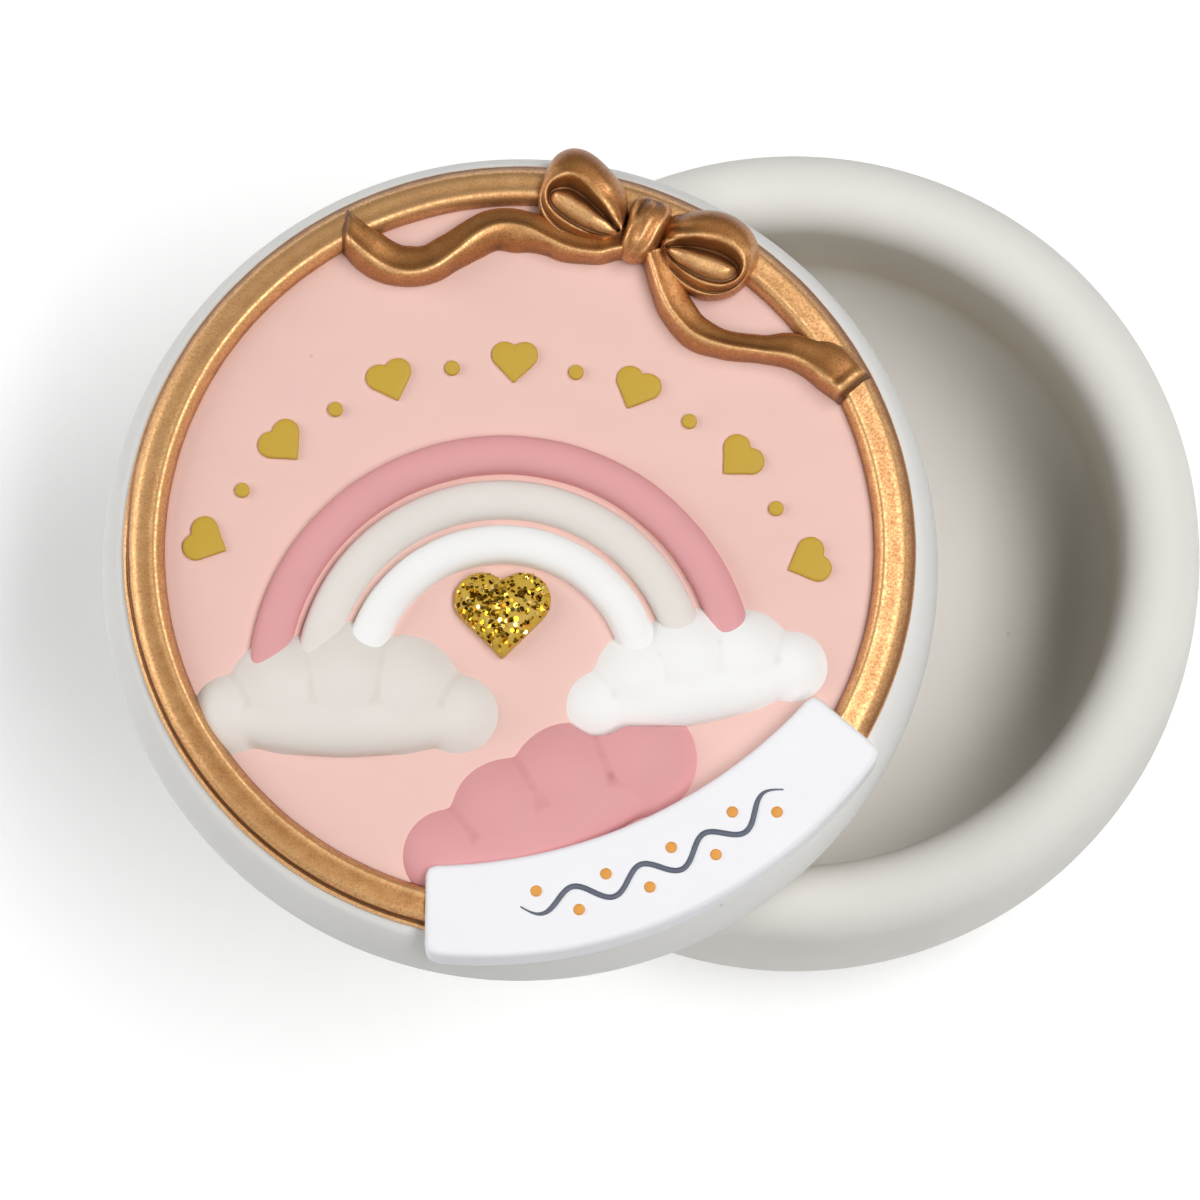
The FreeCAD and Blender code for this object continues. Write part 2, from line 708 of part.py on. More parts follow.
def make_all():
    pieces = {}
    pieces["base_bowl"] = make_base_bowl()
    pieces["lid_shell"] = make_lid_shell()
    pieces["medallion_panel"] = make_medallion_panel()

    # Banner and frame share one cut line; both sit on the lid
    banner_blank = make_banner_blank()
    pieces["frame_ring"] = make_frame_ring()
    lid_top = fuse("lid_top", [pieces["lid_shell"], pieces["medallion_panel"]])
    pieces["banner"] = cut("banner", banner_blank, lid_top)

    # The bow lies over the frame: knot first, then loops against it, then tails against both
    ground = fuse("bow_ground", [pieces["lid_shell"], pieces["medallion_panel"], pieces["frame_ring"]])
    knot_blank = make_knot_blank()
    loop_left_blank = make_loop_blank("bow_loop_left", size.loop_left_angle)
    loop_right_blank = make_loop_blank("bow_loop_right", size.loop_right_angle)
    tail_left_blank = make_tail_blank(
        "ribbon_tail_left",
        size.tail_left_angle,
        -1,
        [size.tail_left_first, size.tail_left_second, size.tail_left_third],
    )
    tail_right_blank = make_tail_blank(
        "ribbon_tail_right",
        size.tail_right_angle,
        1,
        [size.tail_right_first, size.tail_right_second],
    )
    pieces["bow_knot"] = cut("bow_knot", knot_blank, ground)
    loop_tools = fuse("loop_tools", [ground, knot_blank])
    pieces["bow_loop_left"] = cut("bow_loop_left", loop_left_blank, loop_tools)
    pieces["bow_loop_right"] = cut("bow_loop_right", loop_right_blank, loop_tools)
    tail_tools = fuse("tail_tools", [loop_tools, loop_left_blank, loop_right_blank])
    pieces["ribbon_tail_left"] = cut("ribbon_tail_left", tail_left_blank, tail_tools)
    right_tools = fuse("right_tail_tools", [tail_tools, tail_left_blank])
    pieces["ribbon_tail_right"] = cut("ribbon_tail_right", tail_right_blank, right_tools)

    # Relief inside the frame, trimmed to the field
    field_space = doc.addObject("Part::Cylinder", "field_space")
    bind(field_space, "Radius", frame_inner)
    bind(field_space, "Height", size.lid_height)
    place(field_space, lid_x, lid_y, field_z)
    # One cloud at each foot of the rainbow and one along the banner's inner edge
    cloud_left = make_cloud_blank(
        "cloud_left",
        size.rainbow_x - rainbow_middle + size.cloud_left_aside,
        size.rainbow_y - size.cloud_left_drop,
        size.cloud_left_tilt,
        (size.cloud_left_middle, size.cloud_left_end, size.cloud_left_pitch),
        field_space,
    )
    cloud_right = make_cloud_blank(
        "cloud_right",
        size.rainbow_x + rainbow_middle + size.cloud_right_aside,
        size.rainbow_y - size.cloud_right_drop,
        size.cloud_right_tilt,
        (size.cloud_right_middle, size.cloud_right_end, size.cloud_right_pitch),
        field_space,
    )
    across = cosine(size.banner_angle)
    down = sine(size.banner_angle)
    cloud_front = make_cloud_blank(
        "cloud_front",
        banner_inner * across - size.cloud_front_aside * down,
        banner_inner * down + size.cloud_front_aside * across,
        size.banner_angle + UPRIGHT,
        (size.cloud_front_middle, size.cloud_front_end, size.cloud_front_pitch),
        field_space,
    )
    pieces["cloud_left"] = cut("cloud_left", cloud_left, banner_blank)
    pieces["cloud_right"] = cut("cloud_right", cloud_right, fuse("right_tools", [cloud_left, banner_blank]))
    clouds = fuse("cloud_tools", [cloud_left, cloud_right])
    pieces["cloud_front"] = cut("cloud_front", cloud_front, fuse("front_tools", [clouds, banner_blank]))
    for order, name in enumerate(("rainbow_outer", "rainbow_middle", "rainbow_inner")):
        pieces[name] = cut(name, make_rainbow_blank(name, order), clouds)
    pieces["glitter_heart"] = make_glitter_heart()
    pieces["gold_hearts"] = make_garland_hearts()
    pieces["gold_dots"] = make_garland_dots()
    return pieces


def check(pieces):
    """Stop on any object that failed and on any piece whose shape is empty or broken."""
    for item in doc.Objects:
        if "Invalid" in item.State or "Error" in item.State:
            raise RuntimeError(f"{item.Name} failed: {item.State}")
    for name, item in pieces.items():
        if item.Shape.isNull() or not item.Shape.isValid() or not item.Shape.Solids:
            raise RuntimeError(f"{name} has no valid solid")


def write(pieces):
    os.makedirs("parts", exist_ok=True)
    for name, item in pieces.items():
        item.Label = name
        item.Shape.exportStep(f"parts/{name}.step")
        box = item.Shape.BoundBox
        print(
            f"{name:18s} solids {len(item.Shape.Solids)}  volume {item.Shape.Volume:9.2f}"
            f"  x {box.XMin:7.2f} {box.XMax:7.2f}  y {box.YMin:7.2f} {box.YMax:7.2f}"
            f"  z {box.ZMin:6.2f} {box.ZMax:6.2f}"
        )


pieces = make_all()
doc.recompute()
check(pieces)
write(pieces)
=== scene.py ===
"""Baby tooth box: a cast resin bowl and its loose lid with a gilt ribbon frame, on its CAD frame."""

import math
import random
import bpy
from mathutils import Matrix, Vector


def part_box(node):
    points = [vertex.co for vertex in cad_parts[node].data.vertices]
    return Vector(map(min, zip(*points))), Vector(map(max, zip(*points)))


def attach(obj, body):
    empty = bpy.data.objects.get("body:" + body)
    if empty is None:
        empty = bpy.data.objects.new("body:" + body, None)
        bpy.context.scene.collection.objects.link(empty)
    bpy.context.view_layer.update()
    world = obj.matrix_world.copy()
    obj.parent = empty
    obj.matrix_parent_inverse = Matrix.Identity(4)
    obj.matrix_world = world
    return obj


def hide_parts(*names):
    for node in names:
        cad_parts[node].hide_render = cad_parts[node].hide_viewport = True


bl_info = {
    "name": "Baby tooth box",
    "version": (1, 0, 0),
    "blender": (4, 5, 0),
    "location": "View3D > Sidebar > Tooth box",
    "description": "Builds a painted resin tooth box piece by piece around its CAD frame",
    "category": "Object",
}

import bmesh
import bpy
from bpy.props import FloatProperty, FloatVectorProperty, IntProperty, PointerProperty
from mathutils import Vector, kdtree, noise

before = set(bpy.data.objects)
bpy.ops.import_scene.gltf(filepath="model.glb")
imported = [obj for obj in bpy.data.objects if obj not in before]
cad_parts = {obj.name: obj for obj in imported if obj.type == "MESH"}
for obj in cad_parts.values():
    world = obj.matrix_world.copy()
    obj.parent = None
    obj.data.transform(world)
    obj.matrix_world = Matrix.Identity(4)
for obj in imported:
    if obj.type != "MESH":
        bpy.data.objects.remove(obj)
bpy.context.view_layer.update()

MM = 0.001
TINY = 1e-12
FULL_TURN = 2 * math.pi
# Points closer than this are one point
MERGE = 0.002 * MM
BOWL_LOW, BOWL_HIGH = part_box("base_bowl")
LID_LOW, LID_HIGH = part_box("lid_shell")
FIELD_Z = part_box("medallion_panel")[1].z
LID_X = (LID_LOW.x + LID_HIGH.x) / 2
LID_Y = (LID_LOW.y + LID_HIGH.y) / 2
# Middle of the half-round bands, from the lid's centre
RAINBOW_CENTRE = Vector((-1.5, -12.0)) * MM


def linear(hex_colour):
    """The linear values of an sRGB hex colour."""
    channels = [int(hex_colour[index:index + 2], 16) / 255 for index in (0, 2, 4)]
    return tuple(c / 12.92 if c <= 0.04045 else ((c + 0.055) / 1.055) ** 2.4 for c in channels)


def length(name, description, millimetres):
    return FloatProperty(
        name=name,
        description=description,
        default=millimetres * MM,
        min=0.0,
        unit="LENGTH",
        subtype="DISTANCE",
    )


def turn(name, description, degrees):
    return FloatProperty(
        name=name, description=description, default=math.radians(degrees), unit="ROTATION", subtype="ANGLE"
    )


def colour(name, description, hex_colour):
    return FloatVectorProperty(
        name=name,
        description=description,
        default=linear(hex_colour),
        min=0.0,
        max=1.0,
        size=3,
        subtype="COLOR",
    )


class BowlSizes(bpy.types.PropertyGroup):
    belly_height: length("Belly height", "Height of the widest line above the foot", 12)
    foot_radius: length("Foot radius", "Radius of the flat foot", 27)
    rim_round: length("Rim radius", "Radius of the rounded rim", 3.7)
    rim_lean: length("Rim lean", "How far the rim stands inside the widest line", 0.6)
    floor_thickness: length("Floor thickness", "Thickness of the floor under the well", 5)
    well_fillet: length("Well fillet", "Radius between the well's wall and floor", 7)


class LidSizes(bpy.types.PropertyGroup):
    height: length("Height", "Height of the lid above its underside, without the plug", 11)
    widest_height: length("Widest height", "Height of the widest line above the underside", 4)
    heel: length("Heel", "How far the underside stands inside the widest line", 1.2)
    shoulder_inset: length("Shoulder inset", "How far the flat top stands inside the widest line", 2.1)
    shoulder_round: length("Shoulder rounding", "Radius between the side and the flat top", 1.6)
    plug_depth: length("Plug depth", "Depth of the plug that drops into the bowl", 2)
    plug_radius: length("Plug radius", "Radius of the plug", 29.1)
    field_radius: length("Field radius", "Radius of the painted field, partly under the moulding", 32.4)
    field_thickness: length("Field thickness", "Thickness of the painted field", 0.8)


class FrameSizes(bpy.types.PropertyGroup):
    inner_radius: length("Inner radius", "Radius of the moulding's inner edge", 31.6)
    width: length("Width", "Width of the moulding", 3.68)
    gap_half_angle: turn("Gap half angle", "Half the angle left open for the banner", 36.0)
    off_centre: length("Off centre", "How far the moulding sits to the back", 0.16)
    wobble: length("Wobble", "Unevenness of the hand-finished casting", 0.06)


class BowSizes(bpy.types.PropertyGroup):
    knot_height: length("Knot height", "Height of the knot above the field", 4.3)
    loop_height: length("Loop height", "Height of the loops above the field", 3.9)
    tail_height: length("Tail height", "Height of the ribbon tails above the field", 2.5)


class BannerSizes(bpy.types.PropertyGroup):
    angle: turn("Angle", "Direction from the lid's centre to the banner's middle", -65.7)
    shift: length("Shift", "How far the banner's middle lies to the left of that direction", 0.5)
    outer_reach: length("Outer reach", "Distance of the outer edge's middle from the lid's centre", 36.2)
    width: length("Width", "Width of the banner in the middle", 9.4)
    inner_half: length("Inner half length", "Half the length of the inner edge", 18.7)
    outer_half: length("Outer half length", "Half the length of the outer edge", 22.1)
    inner_arc: length("Inner arc", "Radius of the inner edge", 45)
    outer_arc: length("Outer arc", "Radius of the outer edge", 42.7)
    height: length("Height", "Height above the field", 2.4)
    edge_round: length("Edge rounding", "Rounding of the upper edge", 0.7)
    corner: length("Corner", "Rounding of the four corners", 1.0)
    drape: length("Drape", "How far the outer edge reaches down over the lid's shoulder", 2.0)


class ReliefSizes(bpy.types.PropertyGroup):
    rainbow_radius: length("Rainbow radius", "Outer radius of the outer band", 22.5)
    band_width: length("Band width", "Width of each band", 3.6)
    band_gap: length("Band gap", "Gap between two bands", 0.5)
    band_height: length("Band height", "Height of the bands above the field", 1.6)
    heart_half: length("Heart size", "Half the diagonal of the glitter heart's square", 3.6)
    heart_height: length("Heart height", "Height of the glitter heart", 1.75)
    flake: length("Flake", "Width of a glitter flake", 0.42)
    flake_count: IntProperty(name="Flakes", description="Number of glitter flakes", default=360, min=1)
    garland_radius: length("Garland radius", "Distance of the small hearts from the rainbow's centre", 29)
    garland_heart: length("Small heart", "Half the diagonal of a small heart's square", 1.75)
    garland_dot: length("Small dot", "Radius of a small dot", 0.7)
    garland_height: length("Paint height", "Height of the small hearts and dots", 0.45)


class PaintColours(bpy.types.PropertyGroup):
    bowl: colour("Bowl", "Matte paint of the bowl", "E5E2DC")
    lid: colour("Lid", "Matte paint of the lid's body", "E4E3E0")
    field: colour("Field", "Pale pink of the field", "EAC3B9")
    rose: colour("Rose", "Rose of the relief", "E0A0A2")
    cream: colour("Cream", "Warm off-white of the relief", "E3DDD6")
    white: colour("White", "White of the relief", "F3F2F0")
    banner: colour("Banner", "Satin white of the banner", "F1F1F4")
    mustard: colour("Mustard", "Mustard gold of the small hearts and dots", "C6A23A")
    # The patina colour also gives painted shade on faces to the back and at the foot; the worn gold also
    # gives painted highlights
    gold_dark: colour("Gold patina", "Brown wash in the recesses of the gilding", "5E3A1E")
    gold_middle: colour("Gold", "Bronze gold of the gilding", "BA7F44")
    gold_bright: colour("Gold worn", "Bright gold on rubbed edges", "F0BE82")
    slate: colour("Slate", "Slate grey line on the banner", "5A5F6E")
    orange: colour("Orange", "Orange gold dots on the banner", "DC963C")


class ToothBoxSettings(bpy.types.PropertyGroup):
    bowl: PointerProperty(type=BowlSizes)
    lid: PointerProperty(type=LidSizes)
    moulding: PointerProperty(type=FrameSizes)
    bow: PointerProperty(type=BowSizes)
    banner: PointerProperty(type=BannerSizes)
    relief: PointerProperty(type=ReliefSizes)
    colours: PointerProperty(type=PaintColours)


# Mesh helpers. All lengths are metres; listed points are written in millimetres on the lid, x to the
# right and y to the back from the lid's centre, and come through marks().


def marks(points):
    return [Vector(point) * MM for point in points]


def on_lid(spot, height):
    """A point of the model from a place on the lid and a height above the painted field."""
    return Vector((LID_X + spot.x, LID_Y + spot.y, FIELD_Z + height))


def lid_spot(vertex):
    """Place on the lid of a point of the model."""
    return Vector((vertex.co.x - LID_X, vertex.co.y - LID_Y))


def polar(radius, angle):
    return Vector((radius * math.cos(angle), radius * math.sin(angle)))


def round_dot(middle, radius, count):
    """A ring of points and its middle, once for each point."""
    return [middle + polar(radius, FULL_TURN * step / count) for step in range(count)], [middle] * count


def pick(*objects):
    """Select these alone and make the first one active."""
    bpy.ops.object.select_all(action="DESELECT")
    for obj in objects:
        obj.select_set(True)
    bpy.context.view_layer.objects.active = objects[0]


def fresh(name, points, edges=(), faces=()):
    """A new object, alone selected and active."""
    mesh = bpy.data.meshes.new(name)
    mesh.from_pydata(points, edges, faces)
    obj = bpy.data.objects.new(name, mesh)
    bpy.context.collection.objects.link(obj)
    pick(obj)
    return obj


def join(objects, name):
    """Make one piece of several."""
    pick(*objects)
    bpy.ops.object.join()
    objects[0].name = name
    return objects[0]


def store(obj, name, values):
    """Give each point of a piece a value that its material reads."""
    attribute = obj.data.attributes.get(name) or obj.data.attributes.new(name, "FLOAT", "POINT")
    attribute.data.foreach_set("value", values)


def close_up(obj):
    """Merge doubled points and turn all faces outwards."""
    bpy.ops.object.mode_set(mode="EDIT")
    bpy.ops.mesh.select_all(action="SELECT")
    bpy.ops.mesh.remove_doubles(threshold=MERGE)
    bpy.ops.mesh.normals_make_consistent(inside=False)
    bpy.ops.object.mode_set(mode="OBJECT")


def skin(name, rows, end_face):
    """A closed mesh over rows of points, each row a loop; the first row gets a face and the last one may."""
    count = len(rows[0])
    faces = [tuple(range(count))]
    if end_face:
        faces.append(tuple(range(len(rows) * count - count, len(rows) * count)))
    for row in range(len(rows) - 1):
        for index in range(count):
            other = (index + 1) % count
            low, high = row * count, (row + 1) * count
            faces.append((low + index, low + other, high + other, high + index))
    obj = fresh(name, [point for row in rows for point in row], faces=faces)
    close_up(obj)
    return obj


def arc_points(start, end, radius, bend, count):
    """Points on the shorter arc from start to end, without its end; bend 1 turns left and -1 right."""
    chord = end - start
    depth = math.sqrt(max(radius * radius - chord.length_squared / 4, 0.0))
    centre = (start + end) / 2 + Vector((-chord.y, chord.x)).normalized() * depth * bend
    first = math.atan2(start.y - centre.y, start.x - centre.x)
    swing = 2 * math.asin(min(chord.length / 2 / radius, 1.0)) * bend
    return [centre + polar(radius, first + swing * step / count) for step in range(count)]


def trace(corners, arc_steps=14):
    """Points along a chain of corners: (x, y), then a line, or (x, y, radius, bend), then an arc."""
    points = []
    for corner, after in zip(corners, corners[1:]):
        start, end = Vector(corner[:2]), Vector(after[:2])
        if len(corner) == 2:
            points.append(start)
        else:
            points += arc_points(start, end, corner[2], corner[3], arc_steps)
    points.append(Vector(corners[-1][:2]))
    return points


def spaced(points, places, whole):
    """The points of a chain at those places, where its whole length counts as that much."""
    travelled = [0.0]
    for a, b in zip(points, points[1:]):
        travelled.append(travelled[-1] + (b - a).length)
    even = []
    at = 0
    for place in places:
        wanted = travelled[-1] * place / whole
        while at < len(points) - 2 and travelled[at + 1] < wanted:
            at += 1
        share = (wanted - travelled[at]) / max(travelled[at + 1] - travelled[at], TINY)
        even.append(points[at].lerp(points[at + 1], min(max(share, 0.0), 1.0)))
    return even


def through(points, count, closed=False):
    """A smooth curve through given points, as count points spaced evenly along it."""
    fine_steps = 24
    if closed:
        chain = [points[-1], *points, points[0], points[1]]
    else:
        chain = [points[0] * 2 - points[1], *points, points[-1] * 2 - points[-2]]
    fine = []
    for a, b, c, d in zip(chain, chain[1:], chain[2:], chain[3:]):
        for step in range(fine_steps):
            t = step / fine_steps
            fine.append((b * 2 + (c - a) * t + (a * 2 - b * 5 + c * 4 - d) * t * t
                         + (b * 3 - a - c * 3 + d) * t * t * t) / 2)
    fine.append(chain[-2])
    return spaced(fine, range(count), count if closed else count - 1)


def spin_section(name, section, centre, start=0.0, sweep=FULL_TURN, steps=256):
    """Draw a section (radius, height) and spin it about an upright axis; a positive sweep turns clockwise."""
    direction = polar(1.0, start)
    points = [(centre.x + r * direction.x, centre.y + r * direction.y, z) for r, z in section]
    edges = [(index, index + 1) for index in range(len(points) - 1)]
    obj = fresh(name, points, edges)
    bpy.ops.object.mode_set(mode="EDIT")
    bpy.ops.mesh.select_all(action="SELECT")
    bpy.ops.mesh.spin(steps=steps, angle=sweep, center=centre, axis=(0, 0, 1))
    bpy.ops.mesh.select_all(action="SELECT")
    bpy.ops.mesh.remove_doubles(threshold=MERGE)
    bpy.ops.mesh.fill_holes(sides=0)
    bpy.ops.object.mode_set(mode="OBJECT")
    close_up(obj)
    return obj


def scaled(profile, height):
    """A relief's profile with its shares of a height made heights."""
    return [
        (place, *(None if share is None else share * height for share in shares))
        for place, *shares in profile
    ]


def relief(name, curves, profile, ground=None, weights=None, carve=None, flat_top=False):
    """A closed cast form over nested curves of matching points.

    profile rows are (place, height) or (place, front height, back height): place 0 is the first curve, 1 the
    second and so on, and a height of None is the ground. weights give each point's share of the back height.
    With flat_top the last row is closed by a face; otherwise it meets on the last curve."""
    rows = []
    for place, *heights in profile:
        front, back = heights[0], heights[-1]
        inner = min(int(place), len(curves) - 2)
        row = []
        for index in range(len(curves[0])):
            spot = curves[inner][index].lerp(curves[inner + 1][index], place - inner)
            if front is None:
                row.append(on_lid(spot, ground(spot)))
                continue
            share = weights[index] if weights else 0.0
            height = front + (back - front) * share
            row.append(on_lid(spot, carve(spot, height) if carve else height))
        rows.append(row)
    return skin(name, rows, flat_top)


def sweep(name, path, section_at, end_aside=None):
    """A closed cast form along a path on the lid.

    section_at gives the section's (across, up) points for a share of the path, and the section turns to
    end_aside over the last part."""
    turn_from, turn_to = 0.85, 0.97
    rows = []
    for index, spot in enumerate(path):
        share = index / (len(path) - 1)
        before = path[max(index - 1, 0)]
        after = path[min(index + 1, len(path) - 1)]
        along = (after - before).normalized()
        aside = Vector((-along.y, along.x))
        if end_aside:
            aside = aside.lerp(end_aside, smooth(share, turn_from, turn_to)).normalized()
        rows.append([on_lid(spot + aside * across, up) for across, up in section_at(share)])
    return skin(name, rows, True)


def smooth(value, low, high):
    """A soft step from 0 at low to 1 at high."""
    t = min(max((value - low) / (high - low), 0.0), 1.0)
    return t * t * (3 - 2 * t)


def between(values, share):
    """The value at a share of the way along evenly spaced values."""
    place = share * (len(values) - 1)
    step = min(int(place), len(values) - 2)
    return values[step] + (values[step + 1] - values[step]) * smooth(place - step, 0.0, 1.0)


def refine(obj, levels):
    """Subdivide the active piece smoothly and apply it."""
    subdivision = obj.modifiers.new("smooth", "SUBSURF")
    subdivision.levels = levels
    subdivision.render_levels = levels
    subdivision.use_limit_surface = False
    bpy.ops.object.modifier_apply(modifier=subdivision.name)


def soften(obj, passes):
    """Round off the active piece's creases, as a mould and a coat of paint do."""
    rounding = obj.modifiers.new("soften", "SMOOTH")
    rounding.factor = 0.5
    rounding.iterations = passes
    bpy.ops.object.modifier_apply(modifier=rounding.name)


def roughen(obj, amount, grain):
    """Sink the points by soft noise, as a hand-finished casting is never quite true."""
    moved = [
        vertex.co + vertex.normal * (noise.noise(vertex.co / grain) - 1) * amount / 2
        for vertex in obj.data.vertices
    ]
    for vertex, spot in zip(obj.data.vertices, moved):
        vertex.co = spot


def mark_crests(obj, tightest=0.45 * MM, passes=5, foot=0.0, back_face_shade=0.0):
    """Store as "crest" how each point lies: 0 in a fold, 0.5 on a flat and 1 on an edge of that radius.

    Painted shade: up to the foot height above the field, and on faces to the back by the share given, points
    count as lying in a fold, so that their materials darken them."""
    foot_shade = 0.35
    form = bmesh.new()
    form.from_mesh(obj.data)
    form.normal_update()
    bends = []
    for vertex in form.verts:
        total = 0.0
        for edge in vertex.link_edges:
            step = edge.other_vert(vertex).co - vertex.co
            total -= step.dot(vertex.normal) / max(step.length_squared, TINY)
        bends.append(total / max(len(vertex.link_edges), 1))
    near = [[edge.other_vert(vertex).index for edge in vertex.link_edges] for vertex in form.verts]
    form.free()
    for _ in range(passes):
        bends = [
            0.5 * bend + 0.5 * sum(bends[other] for other in others) / max(len(others), 1)
            for bend, others in zip(bends, near)
        ]
    painted_shades = [back_face_shade * smooth(vertex.normal.y, 0.1, 0.7) for vertex in obj.data.vertices]
    if foot:
        painted_shades = [
            low + foot_shade * (1 - smooth(vertex.co.z - FIELD_Z, 0.0, foot))
            for low, vertex in zip(painted_shades, obj.data.vertices)
        ]
    values = [min(max(0.5 + bend * tightest - low, 0.0), 1.0) for bend, low in zip(bends, painted_shades)]
    store(obj, "crest", values)


def place_piece(obj, body, slot, material, *nodes):
    """Finish a piece: smooth shading, material and body, and hide the CAD nodes it stands for; the slot is
    not used.
    """
    pick(obj)
    bpy.ops.object.shade_smooth()
    obj.data.materials.clear()
    obj.data.materials.append(material)
    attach(obj, body)
    if nodes:
        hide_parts(*nodes)


# Materials


def set_up(node, values):
    """Set a node's settings, which have small names, and its inputs, each a value or a socket to link."""
    for name, value in values.items():
        if isinstance(name, str) and name.islower():
            setattr(node, name, value)
        elif isinstance(value, bpy.types.NodeSocket):
            node.id_data.links.new(value, node.inputs[name])
        else:
            node.inputs[name].default_value = value


def add_node(tree, kind, values, output=None):
    """Add a shader node, set it up, and give its named output or else its first live one."""
    node = tree.nodes.new("ShaderNode" + kind)
    set_up(node, values)
    if output:
        return node.outputs[output]
    return next(socket for socket in node.outputs if socket.enabled)


def new_material(name):
    """An empty material with a Principled shader, and the Object coordinates that its patterns read."""
    material = bpy.data.materials.new(name)
    material.use_nodes = True
    tree = material.node_tree
    return material, tree, tree.nodes["Principled BSDF"], add_node(tree, "TexCoord", {}, "Object")


def per_mm(millimetres):
    """Texture scale for a pattern whose features are that wide."""
    return 1.0 / (millimetres * MM)


def opaque(rgb):
    return (*rgb, 1.0)


def toned(rgb, factor):
    return tuple(min(channel * factor, 1.0) for channel in rgb)


def matte_paint(name, rgb, shade, roughness, streak=1.0):
    """Acrylic paint on cast polyresin, brushed and sprayed by hand: dull, with soft patches of thicker and
    thinner coat, a fine tooth and a few pinholes from the casting, and painted shade: more of the shade
    colour in the folds and wherever a piece is marked for it, such as the bowl's well."""
    material, tree, shader, spots = new_material(name)
    turned = add_node(tree, "Mapping", {
        "Vector": spots, "Rotation": (0.0, 0.0, 0.6), "Scale": (1.0, streak, 1.0),
    })
    patches = add_node(tree, "TexNoise", {
        "Vector": turned, "Scale": per_mm(8.0), "Detail": 3.0, "Roughness": 0.55,
    })
    tooth = add_node(tree, "TexNoise", {"Vector": turned, "Scale": per_mm(0.35), "Detail": 2.0})
    pinholes = add_node(tree, "TexVoronoi", {"Vector": spots, "Scale": per_mm(9.0)})
    pit = add_node(tree, "MapRange", {
        "Value": pinholes, "From Min": 0.008, "From Max": 0.022, "To Min": 0.6, "To Max": 0.0,
    })
    coat = add_node(tree, "MapRange", {"Value": patches, "From Min": 0.3, "From Max": 0.7, "To Max": 0.55})
    base = add_node(tree, "Mix", {
        "data_type": "RGBA", "Factor": coat, "A": opaque(rgb), "B": opaque(toned(rgb, 0.955)),
    })
    # Painted shade: the shade colour is mixed in where crest marks a fold and in the bowl's well
    crest = add_node(tree, "Attribute", {"attribute_name": "crest"}, "Fac")
    fold = add_node(tree, "MapRange", {"Value": crest, "From Min": 0.47, "From Max": 0.2, "To Max": 0.75})
    deep = add_node(tree, "Attribute", {"attribute_name": "deep"}, "Fac")
    shaded = add_node(tree, "Math", {"operation": "MAXIMUM", 0: fold, 1: deep})
    with_painted_shade = add_node(tree, "Mix", {"data_type": "RGBA", "Factor": shaded, "A": base, "B": opaque(shade)})
    pitted = add_node(tree, "Mix", {
        "data_type": "RGBA", "Factor": pit, "A": with_painted_shade, "B": opaque(toned(shade, 0.8)),
    })
    grain = add_node(tree, "Bump", {"Height": tooth, "Strength": 0.25, "Distance": 0.02 * MM})
    surface = add_node(tree, "Bump", {
        "invert": True, "Height": pit, "Strength": 0.5, "Distance": 0.1 * MM, "Normal": grain,
    })
    dull = add_node(tree, "MapRange", {
        "Value": patches, "From Min": 0.3, "From Max": 0.7,
        "To Min": roughness - 0.05, "To Max": roughness + 0.07,
    })
    set_up(shader, {"Base Color": pitted, "Roughness": dull, "Normal": surface, "Specular IOR Level": 0.28})
    return material


def antique_gold(colours):
    """Bronze-powder gilding over a brown ground, dry-brushed and varnished: satin metal with a fine dusty
    grain, brown patina in the recesses with painted shade on back faces and feet, brighter gold on edges and
    marked places, part rubbed wear and part painted highlight, and pale soft highlights from the varnish."""
    material, tree, shader, spots = new_material("gilding_bronze_powder")
    clouds = add_node(tree, "TexNoise", {
        "Vector": spots, "Scale": per_mm(1.3), "Detail": 5.0, "Roughness": 0.65,
    })
    dust = add_node(tree, "TexNoise", {"Vector": spots, "Scale": per_mm(0.22), "Detail": 2.0})
    crest = add_node(tree, "Attribute", {"attribute_name": "crest"}, "Fac")
    worn = add_node(tree, "Attribute", {"attribute_name": "worn"}, "Fac")
    # Brighter gold on edges and marked places: partly rubbed wear, partly painted highlight
    uneven = add_node(tree, "Math", {"operation": "MULTIPLY_ADD", 0: clouds, 1: 0.5, 2: -0.25})
    edges_and_highlight = add_node(tree, "Math", {"operation": "MULTIPLY_ADD", 0: worn, 1: 0.5, 2: crest})
    rub_and_highlight_by = add_node(tree, "Math", {"operation": "ADD", 0: edges_and_highlight, 1: uneven})
    rubbed_and_painted_highlight = add_node(tree, "MapRange", {
        "interpolation_type": "SMOOTHSTEP", "Value": rub_and_highlight_by,
        "From Min": 0.45, "From Max": 1.0, "To Max": 0.9,
    })
    # Brown patina in the recesses, and painted shade where crest marks faces to the back and the foot
    patina_and_painted_shade = add_node(tree, "MapRange", {
        "interpolation_type": "SMOOTHSTEP", "Value": crest,
        "From Min": 0.48, "From Max": 0.1, "To Max": 0.8,
    })
    speckle = add_node(tree, "MapRange", {
        "Value": dust, "From Min": 0.42, "From Max": 0.66, "To Max": 0.65,
    })
    edged = add_node(tree, "Mix", {
        "data_type": "RGBA", "Factor": rubbed_and_painted_highlight,
        "A": opaque(colours.gold_middle), "B": opaque(colours.gold_bright),
    })
    with_painted_shade = add_node(tree, "Mix", {
        "data_type": "RGBA", "Factor": patina_and_painted_shade, "A": edged, "B": opaque(colours.gold_dark),
    })
    grainy = add_node(tree, "Mix", {
        "data_type": "RGBA", "blend_type": "MULTIPLY",
        "Factor": speckle, "A": with_painted_shade, "B": opaque(linear("CEBDAD")),
    })
    dull = add_node(tree, "MapRange", {
        "Value": dust, "From Min": 0.3, "From Max": 0.7, "To Min": 0.42, "To Max": 0.58,
    })
    surface = add_node(tree, "Bump", {"Height": dust, "Strength": 0.5, "Distance": 0.03 * MM})
    set_up(shader, {
        "Base Color": grainy, "Roughness": dull, "Normal": surface,
        "Metallic": 0.85, "Coat Weight": 0.45, "Coat Roughness": 0.35,
    })
    return material


